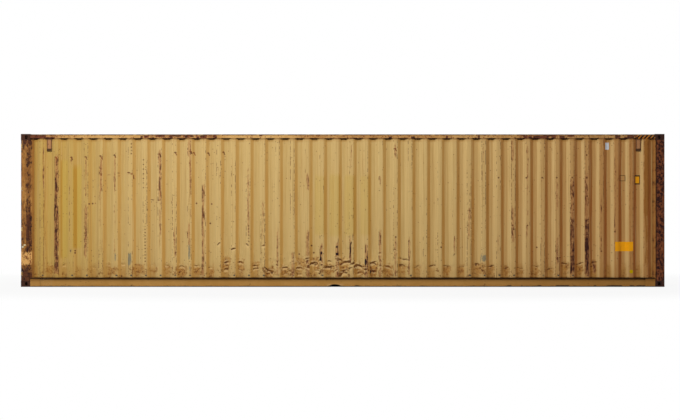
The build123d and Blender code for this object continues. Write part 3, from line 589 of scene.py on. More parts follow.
def spot(x, y, wide, tall, power):
    """1 at a noted place, fading all round it."""
    return np.exp(-np.abs((seen_x - x) / wide) ** power - np.abs((seen_y - y) / tall) ** power)


def distance_to_line(points):
    """Height of each grid point above a folded line, and how far outside its ends it is."""
    xs, ys = zip(*points)
    line = np.interp(seen_x, xs, ys)
    outside = np.maximum(0, np.maximum(xs[0] - seen_x, seen_x - xs[-1]))
    return line - seen_y, outside


print("the sheet is seen from", round(seen_x.min(), 1), "to", round(seen_x.max(), 1))

# %% [markdown]
# ## Dents, puckers and creases
# A dent is a soft hollow. A pucker is what a fork or a shifting load leaves in a recess: the
# sheet steps in sharply along a short fold and comes back out below it, so the fold is dark and
# the part below it catches the light. A crease is a longer fold that crosses ridges. All are
# worked out for every point at once, and all die away at the rails, where the sheet is welded.

# %% Push in the sheet
CRUMPLED_AT, CRUMPLED_HALF, CRUMPLED_END = 318, 92, 400
wobble = 1.1 * waves(0.09, 3) + 0.7 * waves(0.04, 37)
inward, fold, lip_light = (np.zeros_like(wall_x) for _ in range(3))
for x, y, wide, tall, depth in DENTS:
    inward += depth / 1000 * spot(x, y, wide, tall, 2)
leans = np.random.default_rng(41).uniform(-0.42, 0.42, len(PUCKERS))
for (x, y, wide, drop, depth), lean in zip(PUCKERS, leans):
    shine = 1.0
    if x > CRUMPLED_END:
        wide, depth, lean, shine = 1.25 * wide, 1.2 * depth, 0.5 * lean, 0.45
    side = bell(seen_x, x, wide, 5)
    below = seen_y - y - 0.35 * ((seen_x - x) / wide) ** 2 + lean * (seen_x - x) + wobble
    back = 0.65 * np.exp(-np.maximum(below, 0) / 1.9) + 0.35 * np.clip(1 - below / drop, 0, 1)
    hollow = back / (1 + np.exp(-below / 0.28)) - 0.4 * bell(below, -1.7, 1.0)
    inward += depth / 1000 * side * hollow
    fold = np.maximum(fold, 0.085 * depth * bell(below, 0.2, 0.8) * side)
    # Where the paint later lays a painted highlight on the lips beside each fold.
    glint = 0.8 * bell(below, -1.5, 0.8) + bell(below, 1.9, 1.0)
    lip_light = np.maximum(lip_light, shine * depth / 11 * glint * side)
for crease in CREASES:
    above, outside = distance_to_line(crease)
    above = above + wobble
    inward += 0.012 * (bell(above, -1.0, 1.5) - 0.7 * bell(above, 1.3, 1.2)) * bell(outside, 0, 1.6)
    near_line = bell(outside, 0, 1.2)
    lip_light = np.maximum(lip_light, 1.1 * bell(above, -1.7, 0.8) * near_line)
    fold = np.maximum(fold, 1.1 * bell(above, -0.2, 0.9) * near_line)
crumpled = bell(seen_x, CRUMPLED_AT, CRUMPLED_HALF, 3) * bell(seen_y, 272, 15, 3)
crumpled = np.maximum(crumpled, 0.38 * bell(seen_y, 275, 9, 3))
sharp = 1 - 2.4 * np.abs(waves(0.11, 5) + 0.35 * waves(0.05, 8))
inward += crumpled * (0.0048 * sharp + 0.0024 * waves(0.045, 11))
broken = np.clip(waves(0.13, 19) * 2.2, 0, 1)
fold = np.maximum(fold, 0.95 * crumpled * broken * np.clip((sharp - 0.70) / 0.2, 0, 1))
lip_light = np.maximum(lip_light, 0.8 * crumpled * np.clip(waves(0.07, 23) * 2 - 0.5, 0, 1))
inward += 0.0012 * waves(0.35, 13) + 0.0006 * waves(0.12, 17)
held = np.minimum(1, (wall_z - rows[0]) / 0.05) * np.minimum(1, (rows[-1] - wall_z) / 0.08)
inward = np.clip(inward * held, -0.004 - 0.012 * wall_deep, 0.027)
print("deepest dent", round(float(inward.max()) * 1000), "mm")

# %% [markdown]
# ## Numbers for the paint
# Three colour attributes carry the notes to the shader: `wear` holds rust, repaint and how
# crumpled the sheet is; `shape` holds caked grime, how deep the point lies and how close a fold
# is; the third holds blue smudges, brown stains and where the lips of the folds get a painted
# highlight. Grid points are a few centimetres apart, so the shader later breaks their soft edges
# up with noise.

# %% Wear as numbers
def soft_span(value, low, high, soft):
    """1 between low and high, with soft ends."""
    return 1 / (1 + np.exp(-(value - low) / soft)) / (1 + np.exp((value - high) / soft))


def strongest_of(notes, shape):
    """Strongest of all the noted marks at every point; shape draws one from its note."""
    found = np.zeros_like(wall_x)
    for *note, strength in notes:
        found = np.maximum(found, strength * shape(*note))
    return found


def run_shape(power):
    """An upright run that sways a little."""
    def shape(x, half, top, bottom):
        sway = 0.16 * half * swaying
        across = np.exp(-np.abs((seen_x - x + sway) / half) ** power)
        return across * soft_span(seen_y, top, bottom, min(2.0, (bottom - top) / 6))

    return shape


def patch_shape(x, half, top, bottom):
    """A ridge painted over, with straight ends."""
    return soft_span(seen_x, x - half, x + half, 0.3) * soft_span(seen_y, top, bottom, 0.8)


def blot_shape(x, y, wide, tall):
    """A smudge or a clod of dirt, nearly even inside."""
    return spot(x, y, wide, tall, 4)


swaying = waves(0.22, 29) + waves(0.09, 31)
rust, stain = strongest_of(RUNS, run_shape(5.0)), strongest_of(STAINS, run_shape(2.2))
repaint = strongest_of(REPAINT, patch_shape)
smudge, grime = strongest_of(SMUDGES, blot_shape), strongest_of(GRIME, blot_shape)
print("rust on", int((rust > 0.3).sum()), "points, folds on", int((fold > 0.5).sum()))

# %% [markdown]
# ## Making the sheet
# The grid becomes a mesh, and a Solidify modifier gives it the 2 mm of the real sheet towards
# the hold. Smooth shading over the narrow bend columns makes the bends look pressed.

# %% Build the side sheet
def grid_mesh(name, points, across):
    """Mesh of a grid of points, listed row by row."""
    index = np.arange(len(points)).reshape(-1, across)
    corners = [index[:-1, :-1], index[:-1, 1:], index[1:, 1:], index[1:, :-1]]
    mesh = bpy.data.meshes.new(name)
    mesh.from_pydata(points.tolist(), [], np.stack(corners, axis=-1).reshape(-1, 4).tolist())
    mesh.validate()
    mesh.shade_smooth()
    return mesh


def keep_numbers(mesh, name, *layers):
    """Three numbers for every point, under one name."""
    values = np.ones((len(mesh.vertices), 4), np.float32)
    for i, layer in enumerate(layers):
        values[:, i] = layer.ravel()
    kept = mesh.color_attributes.new(name, "FLOAT_COLOR", "POINT")
    kept.data.foreach_set("color", values.ravel())


def settle(piece, body, replaced=()):
    """Says which body a finished piece rides and which nodes it stands for, and hides those nodes.
    """
    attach(piece, body)
    if replaced:
        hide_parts(*replaced)


wall_y = NEAR + RIDGE_FACE + RIDGE_DEPTH * wall_deep + inward
sheet_points = np.stack([wall_x, wall_y, wall_z], axis=-1).reshape(-1, 3)
sheet_mesh = grid_mesh("side_sheet_near", sheet_points, len(columns))
keep_numbers(sheet_mesh, "wear", rust, repaint, crumpled)
keep_numbers(sheet_mesh, "shape", grime, wall_deep, fold)
keep_numbers(sheet_mesh, "scuff_and_glint", smudge, stain, lip_light)
print("side sheet:", len(sheet_mesh.polygons), "faces before it gets its thickness")

# %% [markdown]
# ## Paint of the side in view
# The paint is built up as it was on the box: coat, repaint, dirt, rust, chips, and last the
# blank sticker patches. Every step is a function, so the walls out of view can share most of
# them. Places that repeat with the ridges are found from the distance to the middle of the
# nearest ridge, in ridge pitches.

# %% Places on the side
PATCHES = (
    (607.2, 611.0, 136.0, 143.6, (206, 209, 214), (206, 209, 214)),
    (636.6, 642.2, 171.8, 181.9, (28, 22, 14), (28, 22, 14)),
    (637.3, 641.5, 173.2, 180.6, (240, 164, 26), (226, 148, 18)),
    (616.9, 634.9, 244.8, 255.2, (255, 178, 22), (238, 152, 10)),
)
HALF_FLAT = RIDGE_FLAT / PITCH / 2
BROWNED_AT = 5.9
DOT_X, DOT_Y, DOT_R = 633.1, 277.5, 0.034
FRAME_X, FRAME_Y, FRAME_WIDE, FRAME_TALL = 624.5, 175.0, 3.0, 3.2


def inside(look, left, right, top, bottom, soft=0.0012):
    """Mask of an upright rectangle noted from the side view."""
    wide = look.band(look.x, along(left), along(right), soft)
    return wide * look.band(look.z, up(bottom), up(top), soft)


def near_place(look, x, y, wide, tall):
    """1 at a noted place, falling to 0 at the given half width and half height."""
    aside = ((look.x - along(x)) / (wide * UNIT)) ** 2.0
    return look.rise(aside + ((look.z - up(y)) / (tall * UNIT_UP)) ** 2.0, 1.0, 0.25)


def start_sheet(look, place, first, pitch):
    """Noises of a weathered sheet, and where a point lies between two ridges."""
    look.mottle = look.noise(8.0, 5.0, 0.66)
    look.grain = look.noise(46.0, 4.0, 0.66)
    look.drip = look.streaks((34, 34, 1.1), 5.0, 0.65)
    look.fine_drip = look.streaks((90, 90, 3.2), 4.0)
    look.flake = look.streaks((30, 30, 5), 4.0, 0.66)
    look.speck = look.streaks((30, 30, 17), 3.0, 0.66)
    pitches = (place - first) / pitch + 0.5
    look.centre = pitches.fraction() - 0.5
    look.number = pitches.math("FLOOR", pitches)


print("half of a ridge's flat is", round(HALF_FLAT, 3), "pitches")

# %% [markdown]
# ## Coat and dirt
# On the real box the paint is chalky ochre. Its slopes and crests carry painted shade and
# highlight: slopes that face right are painted darker and more orange, partly as shade, while
# slopes that face left and the crests are painted paler as highlight. The recesses hold brown dirt
# near the bottom, and the whole side browns towards the right end, where the painted shade and
# highlight also grow stronger.

# %% Coat, dirt and ridge marks
def side_tones(look, facing, browning_and_shade, left_end):
    """The coat before any damage: ochre, its shades along the box, painted shade and highlight on
    slopes.
    """
    broad = look.noise(0.9, 4.0, 0.6)
    # Where the slopes lie: left-facing ones get a painted highlight, right-facing ones a painted
    # shade.
    lit_slope = look.rise((facing * look.centre + 0.25).size(), 0.19, 0.07)
    look.away = look.rise((facing * look.centre - 0.25).size(), 0.155, 0.085)
    look.coat = look.blend(broad, (200, 167, 104), (189, 155, 93))
    look.cover(look.mottle * 0.5, (204, 173, 114))
    look.cover(left_end * 0.65, (188, 151, 70))
    look.cover(browning_and_shade * 0.9, (188, 136, 78))
    # Right-facing slopes: a darker, more orange coat, part tint and part painted shade, deeper
    # where the side browns.
    slope_shade = look.blend(browning_and_shade, (196, 144, 66), (158, 84, 32))
    high = look.rise(look.z, 1.8, 2.5)
    look.cover(look.away * (0.76 - 0.4 * left_end + 0.12 * browning_and_shade) * (1.0 - 0.28 * high), slope_shade)
    # Left-facing slopes: a paler coat, a painted highlight.
    pale = look.blend(browning_and_shade, (206, 176, 116), (228, 196, 134))
    look.cover(lit_slope * (0.55 - 0.4 * left_end), pale)
    # Crests: a paler coat as painted highlight, turning rust-brown where the side browns most.
    crest = look.rise(look.depth_in, 0.3, 0.05) * (1.0 - left_end)
    look.cover(crest * 0.5, (216, 184, 122), (182, 122, 68), browning_and_shade ** 3.0)
    lines = look.streaks((62, 62, 0.7))
    look.cover(look.rise(lines, 0.5, 0.72) * 0.45, (166, 124, 66))
    look.cover(look.rise(lines, 0.46, 0.3) * 0.45, (214, 186, 128))


def dirt_at_foot(look, crumple, caked):
    """Brown dirt thrown up by wheels, thickest in the recesses."""
    foot = look.rise(look.z, 0.66, 0.20)
    cloud = look.noise(11.0, 5.0, 0.66)
    reach = foot * 0.95 + (look.drip - 0.5) * 1.2 + (cloud - 0.5) * 0.9
    dirty = (look.rise(look.depth_in, 0.5, 0.98) * look.rise(reach, 0.3, 0.9)).within()
    look.cover(dirty * 0.44, (178, 124, 50), (150, 98, 38), look.rise(cloud, 0.4, 0.62))
    film = foot * look.rise(look.fine_drip + 0.4 * foot, 0.5, 0.8)
    look.cover(film * 0.2, (160, 110, 50))
    scab = look.rise(cloud + 0.5 * (look.grain - 0.5) + 0.22 * foot + 0.10 * crumple, 0.82, 0.88)
    look.cover(scab * look.rise(look.z, 0.72, 0.5) * 0.75, (120, 72, 32))
    lumps = look.streaks((20, 20, 24), 4.0, 0.66, shift=(3, 0, 5))
    patch = look.rise(caked + (lumps - 0.5) * 2.4 + (cloud - 0.5) * 1.6, 0.50, 0.80)
    look.cover(patch * 0.52, (174, 118, 50), (140, 86, 34), look.rise(lumps, 0.44, 0.6))
    crust = look.rise(caked + (lumps - 0.5) * 3.4 + (look.grain - 0.5) * 1.4, 1.16, 1.30)
    look.cover(crust * 0.85, (98, 52, 28))
    veil = look.rise(look.drip, 0.54, 0.74) * look.rise(look.z, 0.2, 2.6)
    look.cover(veil * 0.26, (156, 112, 56))


def ridge_marks(look, half_flat, top):
    """Dashes along the ridge edges, freckles of rust, chips at the feet, painted shade under the
    rail.
    """
    picked = look.luck(look.number, 0.0)
    edge = look.rise((look.centre.size() - half_flat).size(), 0.026, 0.006)
    broken = look.streaks((22, 22, 15), rough=0.7)
    where = look.streaks((3.6, 3.6, 0.8), 2.0, 0.5, shift=(4, 0, 9))
    dashes = edge * look.rise(broken + 0.9 * (where - 0.5) + 0.12 * picked, 0.645, 0.70)
    look.cover(dashes * 0.85, (120, 74, 36), (62, 38, 34), look.grain)
    on_crest = look.rise(look.centre.size(), 0.19, 0.13)
    share = 0.035 + 0.16 * look.rise(where, 0.5, 0.7) + 0.05 * on_crest
    freckle = look.dots(30.0, 0.32, share)
    look.cover(freckle * 0.8, (132, 80, 38), (74, 42, 34), look.mottle)
    feet = look.band(look.z, 0.205, 0.232, 0.004) * look.band(look.centre, 0.0, 0.118, 0.02)
    feet = feet * look.rise(picked + 0.5 * (look.grain - 0.5), 0.36, 0.42)
    look.cover(feet * look.rise(look.mottle, 0.36, 0.46) * 0.9, (52, 58, 62))
    sunk = look.rise(look.depth_in, 0.5, 0.85)
    # A brown band below the rail, part rust colour and part painted shade, stronger in the
    # recesses.
    rust_and_shade_below_rail = look.rise(look.z + 0.03 * (look.mottle - 0.5), top - 0.085, top - 0.025)
    look.cover(rust_and_shade_below_rail * (0.25 + 0.35 * sunk), (148, 98, 36))
    # Painted shadow of the rail: a brown line, nearly black in the recesses.
    under_rail = look.rise(look.z + 0.02 * (look.mottle - 0.5), top - 0.026, top - 0.014)
    look.cover(under_rail * 0.42, (104, 60, 26))
    look.cover(sunk * under_rail * 0.9, (30, 17, 9))


print("coat and dirt ready")

# %% [markdown]
# ## Rust and folds
# A rust run is not one brown. It has a warm bloom, a rubbed heart with specks and a dark core,
# and noise drawn out downwards breaks all three up together. A fold shows as a broken brown
# line with a pale lip beside it, which is a painted highlight.

# %% Rust and folds
def rust_on_side(look, run, stain, half_flat):
    """Rain stains, and rust runs: rubbed steel with specks, and dark lines along both edges."""
    wet = look.rise(stain + (look.fine_drip - 0.5) * 1.4 + (look.grain - 0.5) * 0.5, 0.32, 0.62)
    look.cover(wet * 0.8, (158, 102, 40), (134, 80, 28), look.mottle)
    strand = look.streaks((50, 50, 5))
    hem = look.rise((look.centre.size() - half_flat + 0.012).size(), 0.030, 0.008)
    ragged = (look.flake - 0.5) * 1.7 + (strand - 0.5) * 1.9 + (look.speck - 0.5) * 1.2
    bloom = look.rise(run + ragged * 0.35, 0.30, 0.46)
    patchy = look.rise(look.speck, 0.40, 0.60)
    look.cover(bloom * 0.56, (186, 134, 84), (150, 94, 56), patchy)
    heart = look.rise(run + 0.4 * hem + ragged, 0.74, 0.86)
    look.cover(heart * 0.9, (134, 84, 52), (90, 52, 38), patchy)
    core = look.rise(run + 0.34 * hem + ragged, 1.14, 1.28)
    look.cover(core * 0.9, (50, 27, 26))
    return heart


def folds(look, fold, lip):
    """Brown lines where the sheet is folded, and pale lips beside them, painted as highlight."""
    # Pale lips beside the folds: a painted highlight.
    rubbed = look.rise(lip + 1.4 * (look.grain - 0.5) + 1.0 * (look.mottle - 0.5), 0.42, 0.8)
    look.cover(rubbed * 0.55, (220, 186, 126))
    line = look.rise(fold + 1.8 * (look.grain - 0.5) + 1.2 * (look.mottle - 0.5), 0.60, 0.78)
    brown = look.blend(look.rise(look.grain, 0.4, 0.6), (134, 82, 36), (66, 36, 24))
    look.cover(line * 0.88, brown)
    return line


print("rust and folds ready")

# %% [markdown]
# ## Marks and stickers
# Hooks, chips and holes are too small for the points of the grid, so the shader measures the
# distance to each of their places itself. The patches where labels are stuck stay blank.

# %% Marks and stickers
def noted_marks(look):
    """Hooks, ticks, chips, holes and pinpricks, each where the notes have it."""
    dark = 0.0 * look.x
    for x, y in HOOKS:
        stroke = ((look.x - along(x)) + 0.45 * (look.z - up(y))).size() / (0.75 * UNIT)
        head = look.rise(stroke, 1.0, 0.5) * look.band(look.z, up(y + 2.6), up(y - 1.4), 0.008)
        bar = near_place(look, x - 0.4, y - 0.4, 1.7, 0.7)
        dark = dark | head | bar
    dark = look.strongest((strength * near_place(look, *tick) for *tick, strength in TICKS), dark)
    dark = look.rise(dark + 0.7 * (look.grain - 0.5), 0.42, 0.6)
    look.cover(dark * 0.88, (142, 78, 40), (82, 44, 30), look.rise(look.speck, 0.4, 0.6))
    chip = look.strongest(near_place(look, x, y, 1.1, 1.2) for x, y in MARKS)
    chip = look.rise(chip + 0.7 * (look.grain - 0.5), 0.42, 0.6)
    look.cover(chip * 0.85, (116, 62, 34), (56, 30, 28), look.grain)
    hole = look.strongest(near_place(look, *note) for note in HOLES)
    hole = look.rise(hole + 0.9 * (look.flake - 0.5), 0.4, 0.5)
    look.cover(hole * 0.97, (26, 14, 24))
    prick = 0.0 * look.x
    for x, top, bottom, apart in PINPRICKS:
        steps = (look.z - up(bottom)) / (apart * UNIT_UP)
        one = look.rise((steps.fraction() - 0.5).size() * apart, 0.9, 0.4)
        near = one * look.rise((look.x - along(x)).size(), 0.9 * UNIT, 0.4 * UNIT)
        prick = prick | near * look.band(look.z, up(bottom), up(top), 0.01)
    look.cover(prick * look.rise(look.grain, 0.36, 0.46) * 0.85, (84, 44, 22))
    return dark, hole


def stickers(look):
    """Blank patches where labels are stuck, the worn dot and the thin painted frame."""
    shiny = 0.0 * look.x
    for *outline, plain, edge in PATCHES:
        mask = inside(look, *outline)
        worn = mask * look.rise(look.mottle + 0.25 * look.grain, 0.86, 0.72)
        look.cover(worn, plain, edge, look.mottle)
        shiny = shiny | worn
    across, high = (look.x - along(DOT_X)) / DOT_R, (look.z - up(DOT_Y)) / DOT_R
    dot = (across ** 2.0 + high ** 2.0) ** 0.5
    look.cover(look.rise(dot, 1.05, 0.95), (196, 164, 0))
    frame_x = (look.x - along(FRAME_X)).size() / (FRAME_WIDE * UNIT)
    frame_z = (look.z - up(FRAME_Y)).size() / (FRAME_TALL * UNIT_UP)
    ring = look.band(frame_x | frame_z, 0.80, 1.0, 0.05)
    look.cover(ring * 0.9, (64, 50, 32))
    return shiny


print(sum(map(len, (HOOKS, TICKS, MARKS, HOLES))), "small marks and", len(PATCHES), "patches")

# %% [markdown]
# ## The whole paint
# The renderer holds only so many values at a time, and this paint is close to that: one more
# spot pattern turns the wall black. Rust is rougher than paint and stands a little higher.

# %% Mix the side paint
def mix_side_paint():
    look = Finish("side_paint_near", Specular_IOR_Level=0.16)
    run, new_coat, crumple = look.attribute("wear")
    caked, look.depth_in, fold = look.attribute("shape")
    smudged, stain, lip = look.attribute("scuff_and_glint")
    start_sheet(look, look.x, REAR + FIRST_RIDGE, PITCH)
    browning_and_shade, left_end = look.rise(look.x, 0.2, BROWNED_AT), look.rise(look.x, -3.5, -5.5)
    side_tones(look, 1.0, browning_and_shade, left_end)
    # Painted shadow of the corner post on the sheet beside it.
    post_shadow = look.rise(look.x, REAR + 0.36, REAR + 0.22)
    look.cover(post_shadow * 0.6, (172, 122, 48))
    patch_edge = look.rise(new_coat + 0.3 * (look.mottle - 0.5), 0.2, 0.5) * new_coat
    # The repaint is darker and more orange on right-facing slopes, as painted shade.
    olive = look.blend(look.away, (194, 162, 74), (180, 133, 46))
    look.cover(patch_edge * (0.6 + 0.22 * look.away), olive)
    dirt_at_foot(look, crumple, caked)
    ridge_marks(look, HALF_FLAT, sheet_high.z)
    heart = rust_on_side(look, run, stain, HALF_FLAT)
    line = folds(look, fold, lip)
    dark, hole = noted_marks(look)
    blue = look.rise(smudged + 2.0 * (look.flake - 0.5) + 0.8 * (look.grain - 0.5), 0.45, 0.8)
    look.cover(blue * 0.72, (134, 136, 112), (70, 80, 84), look.mottle)
    shiny = stickers(look)
    rough = (0.66 + 0.2 * heart + 0.12 * look.mottle - 0.2 * shiny).within()
    height = 0.35 * look.mottle + 0.25 * look.grain + 0.8 * heart * look.grain
    height = height - 0.5 * dark - 0.8 * hole
    height = height + crumple * (1.1 * look.mottle + 0.4 * look.grain) - 0.4 * line - 0.25 * heart
    return look.finish(rough, height, 0.0022, 0.7)


side_paint = mix_side_paint()
sheet_mesh.materials.append(side_paint)
side_sheet = link_new("side_sheet_near", sheet_mesh)
settle(side_sheet, "box", ("side_wall_near",))
thickness = side_sheet.modifiers.new("sheet_thickness", "SOLIDIFY")
thickness.thickness, thickness.offset = SHEET_STEEL, -1
print("side paint:", len(side_paint.node_tree.nodes), "nodes")

# %% [markdown]
# ## Worn paint for everything else
# Posts, rails, doors and castings wear in the same three ways: the coat fades in broad patches,
# rust blooms through it, and dark rust sits where the coat is gone. One recipe takes those
# colours and how far the wear has gone. Pieces with a story of their own get extra steps later.

# %% A recipe for worn paint
def worn_paint(name, palette, worn, runs=0.4, scale=1.0):
    """Finish with its coat mixed, from a palette of plain, faded, bloom and rust shades."""
    look = Finish(name, Specular_IOR_Level=0.12)
    plain, faded, bloom_shade, rust_shade = palette
    broad = look.noise(1.3 * scale, 4.0, 0.6)
    look.mottle = look.noise(9.0 * scale, 5.0, 0.66)
    look.grain = look.noise(60.0 * scale, 4.0, 0.66)
    look.drip = look.streaks((26.0 * scale, 26.0 * scale, 1.6 * scale), 5.0, 0.62)
    look.coat = look.blend(look.rise(broad + 0.6 * (look.mottle - 0.5), 0.3, 0.7), plain, faded)
    start = 0.62 - 0.75 * worn
    spread = (look.mottle - 0.5) * 1.6 + (look.grain - 0.5) * 0.8 + runs * 1.7 * (look.drip - 0.5)
    look.bloom = look.rise(spread, start - 0.07, start + 0.07)
    look.heart = look.rise(spread, start + 0.1, start + 0.19)
    look.cover(look.bloom * 0.85, bloom_shade, rust_shade, look.rise(look.grain, 0.4, 0.6))
    dark = tuple(0.4 * v for v in tone(*rust_shade))
    core = look.mix(look.rise(look.grain, 0.42, 0.6), tone(*rust_shade), dark)
    look.cover(look.heart * 0.92, core)
    return look


def coat_done(look, rough=0.62, strength=0.5):
    """Closes a worn paint: rusty parts are rougher and stand a little higher."""
    dull = (rough + 0.22 * look.heart + 0.08 * look.mottle).within()
    height = 0.4 * look.grain + 0.3 * look.mottle + 0.8 * look.heart * look.grain
    return look.finish(dull, height - 0.35 * look.bloom, 0.0016, strength)


def coat_node(names, material):
    """Gives carried-over CAD nodes their finish."""
    for name in names:
        nodes[name].data.materials.clear()
        nodes[name].data.materials.append(material)


print("recipe ready")

# %% [markdown]
# ## Paint of the walls out of view
# The far side and the closed end are the same sheet in the same ochre. No notes exist for them,
# so each ridge draws its own luck: whether rust runs down it, where the run starts and how far
# it gets. Depth in the corrugations comes from the place across the wall, and dirt from height.

# %% Far side and end wall
def rain_runs(look, low, high):
    """A run of rust down some of the ridges, each with its own start and length."""
    start = low + (high - low) * (0.35 + 0.65 * look.luck(look.number, 7.3))
    end = low - 0.2 + (start - low) * 0.75 * look.luck(look.number, 19.1)
    length = look.rise(look.z - start, 0.08, -0.08) * look.rise(look.z - end, -0.12, 0.12)
    across = look.rise(look.centre.size(), 0.16, 0.11)
    return across * length * look.rise(look.luck(look.number, 31.7), 0.3, 1.05)


def mix_wall_paint(name, node, face, place, first, pitch, half_flat):
    """Paint of a corrugated wall that faces the high end of the axis named by face."""
    look = Finish(name, Specular_IOR_Level=0.16)
    low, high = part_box(node)
    outer, inner = getattr(high, face), getattr(low, face)
    look.depth_in = ((outer - getattr(look, face)) / (outer - inner - SHEET_STEEL)).within()
    start_sheet(look, getattr(look, place), first, pitch)
    browning_and_shade = look.rise(look.noise(0.22, 2.0, 0.5), 0.36, 0.62) * 0.8
    side_tones(look, -1.0, browning_and_shade, 0.0)
    dirt_at_foot(look, 0.0, 0.75 * look.rise(look.z, 0.46, 0.26))
    ridge_marks(look, half_flat, high.z)
    run = rain_runs(look, low.z, high.z)
    stain = 0.6 * look.rise(look.streaks((2.6, 2.6, 0.5)), 0.5, 0.7)
    heart = rust_on_side(look, run, stain, half_flat)
    rough = (0.66 + 0.2 * heart + 0.12 * look.mottle).within()
    height = 0.35 * look.mottle + 0.25 * look.grain + 0.8 * heart * look.grain - 0.25 * heart
    return look.finish(rough, height, 0.0022, 0.7)


END_PITCH, END_FLAT, END_RIDGES = 0.250, 0.110, 8
END_FIRST = -(END_RIDGES - 1) / 2 * END_PITCH
far_side = ("side_wall_far", "y", "x", REAR + FIRST_RIDGE, PITCH, HALF_FLAT)
closed_end = ("front_wall", "x", "y", END_FIRST, END_PITCH, END_FLAT / END_PITCH / 2)
coat_node(["side_wall_far"], mix_wall_paint("side_paint_far", *far_side))
coat_node(["front_wall"], mix_wall_paint("end_wall_paint", *closed_end))
print("walls out of view painted")

# %% [markdown]
# ## Roof
# Roofs are walked on, rained on and never washed. The paint is paler and chalkier than the
# sides', with rings of rust in the troughs where water stands. Height tells crest from trough,
# so the same height drives the mask.

# %% Roof paint
def mix_roof_paint():
    palette = (186, 158, 108), (172, 146, 104), (150, 98, 50), (88, 50, 30)
    look = worn_paint("roof_paint", palette, 0.42, 0.2)
    trough = look.rise(look.z, TOP - 0.008, TOP - 0.020)
    pool = trough * look.rise(look.mottle, 0.42, 0.62)
    look.cover(pool * 0.55, (128, 96, 60))
    hem = look.rise(look.y.size(), -NEAR - 0.0225, -NEAR - 0.0205)
    scraped = hem * look.rise(look.mottle + 0.5 * (look.grain - 0.5), 0.36, 0.5)
    look.cover(scraped * 0.85, (120, 74, 42), (60, 36, 26), look.grain)
    return coat_done(look, 0.74)


coat_node(["roof", "roof_end_plates"], mix_roof_paint())
print("roof painted")

# %% [markdown]
# ## Rails
# The top rail in view is struck by spreaders, so it is the rustiest long member, worst left of
# the middle. Its browned stretches are noted by both ends and strength, and its struck places by
# both ends and by how much of the rail's height they take, from 0 at its lower edge to 1. At its
# right end it carries slanting stripes that warn of the box's height; they are a plain pattern
# and are drawn from the place along and up.

# %% Rail paint
BROWNED_RAIL = (
    (30, 58, 0.75), (143, 218, 0.72), (300, 440, 0.45), (440, 520, 0.3), (520, 552, 0.95),
    (552, 580, 0.7), (580, 636, 0.42), (636, 660, 0.8),
)
STRUCK_RAIL = (
    (29, 45, 0.0, 1.0), (46, 54, 0.0, 0.4), (141, 142, 0.0, 0.7), (144, 148, 0.3, 1.0),
    (153, 153, 0.0, 0.3), (156, 164, 0.55, 1.0), (170, 172, 0.0, 1.0), (172, 180, 0.65, 1.0),
    (184, 193, 0.6, 1.0), (186, 188, 0.3, 0.7), (197, 198, 0.0, 0.6), (201, 206, 0.1, 1.0),
    (214, 216, 0.0, 1.0), (260, 262, 0.7, 1.0), (351, 357, 0.0, 0.2), (390, 392, 0.0, 0.6),
    (412, 415, 0.0, 0.6), (447, 448, 0.0, 0.8), (469, 469, 0.0, 0.3), (476, 477, 0.0, 0.3),
    (479, 480, 0.0, 0.9), (516, 516, 0.0, 0.3), (525, 528, 0.0, 1.0), (530, 532, 0.0, 0.6),
    (535, 549, 0.0, 0.75), (545, 556, 0.6, 1.0), (553, 556, 0.0, 0.8), (561, 565, 0.0, 0.8),
    (569, 575, 0.6, 1.0), (590, 590, 0.6, 1.0), (617, 621, 0.0, 1.0), (626, 635, 0.0, 0.5),
    (629, 639, 0.6, 1.0), (637, 639, 0.0, 1.0),
)
RAIL_SHADES = (176, 130, 74), (190, 146, 88), (138, 84, 38), (76, 42, 24)
LOW_RAIL_SHADES = (176, 130, 66), (188, 142, 78), (140, 88, 38), (80, 46, 24)
STRIPES_FROM, STRIPES_TO, STRIPE = 638.5, 657, 0.075


def mix_top_rail_paint():
    palette = (190, 142, 80), (212, 168, 104), (150, 98, 52), (92, 54, 34)
    look = worn_paint("top_rail_paint_near", palette, 0.3, 0.15)
    low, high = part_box("top_side_rail_near")
    tall = high.z - low.z
    browned = look.strongest(
        strength * look.band(look.x, along(left), along(right), 0.08)
        for left, right, strength in BROWNED_RAIL
    )
    struck = look.strongest(
        look.band(look.x, along(left - 0.2), along(right + 1.2), 0.012)
        * look.band(look.z, low.z + bottom * tall - 0.004, low.z + top * tall + 0.004, 0.005)
        for left, right, bottom, top in STRUCK_RAIL
    )
    blotch = look.streaks((15, 15, 30))
    ragged = (blotch - 0.5) * 1.6 + (look.grain - 0.5) * 0.7
    brown = look.blend(look.rise(blotch, 0.4, 0.6), (166, 112, 66), (128, 76, 44))
    look.cover((browned * (0.78 + ragged)).within(), brown)
    bitten = look.rise(struck + ragged * 0.8 + 0.1 * browned, 0.50, 0.68)
    look.cover(bitten * 0.92, (104, 54, 38), (44, 22, 22), look.rise(blotch, 0.42, 0.58))
    pecks = look.dots(36.0, 0.52, 0.3 + 0.3 * browned)
    look.cover(pecks * 0.82, (146, 74, 44), (84, 38, 30), look.mottle)
    # A dark line along the rail's lower edge, part rust and part painted shade, darkest in front of
    # the recesses.
    pitches = (look.x - (REAR + FIRST_RIDGE)) / PITCH + 0.5
    recess = look.rise((pitches.fraction() - 0.5).size(), 0.15, 0.24)
    hem = look.rise(look.z, low.z + 0.012, low.z + 0.005) * (0.35 + 0.6 * recess)
    look.cover(hem, (40, 20, 12))
    slant = ((look.x - look.z) / STRIPE).fraction()
    striped = look.band(look.x, along(STRIPES_FROM), along(STRIPES_TO), 0.004)
    plain = striped * look.rise(look.mottle, 0.66, 0.46)
    look.cover(plain * 0.85, (196, 116, 26))
    look.cover(look.rise(slant, 0.40, 0.48) * striped, (34, 22, 16))
    return coat_done(look)


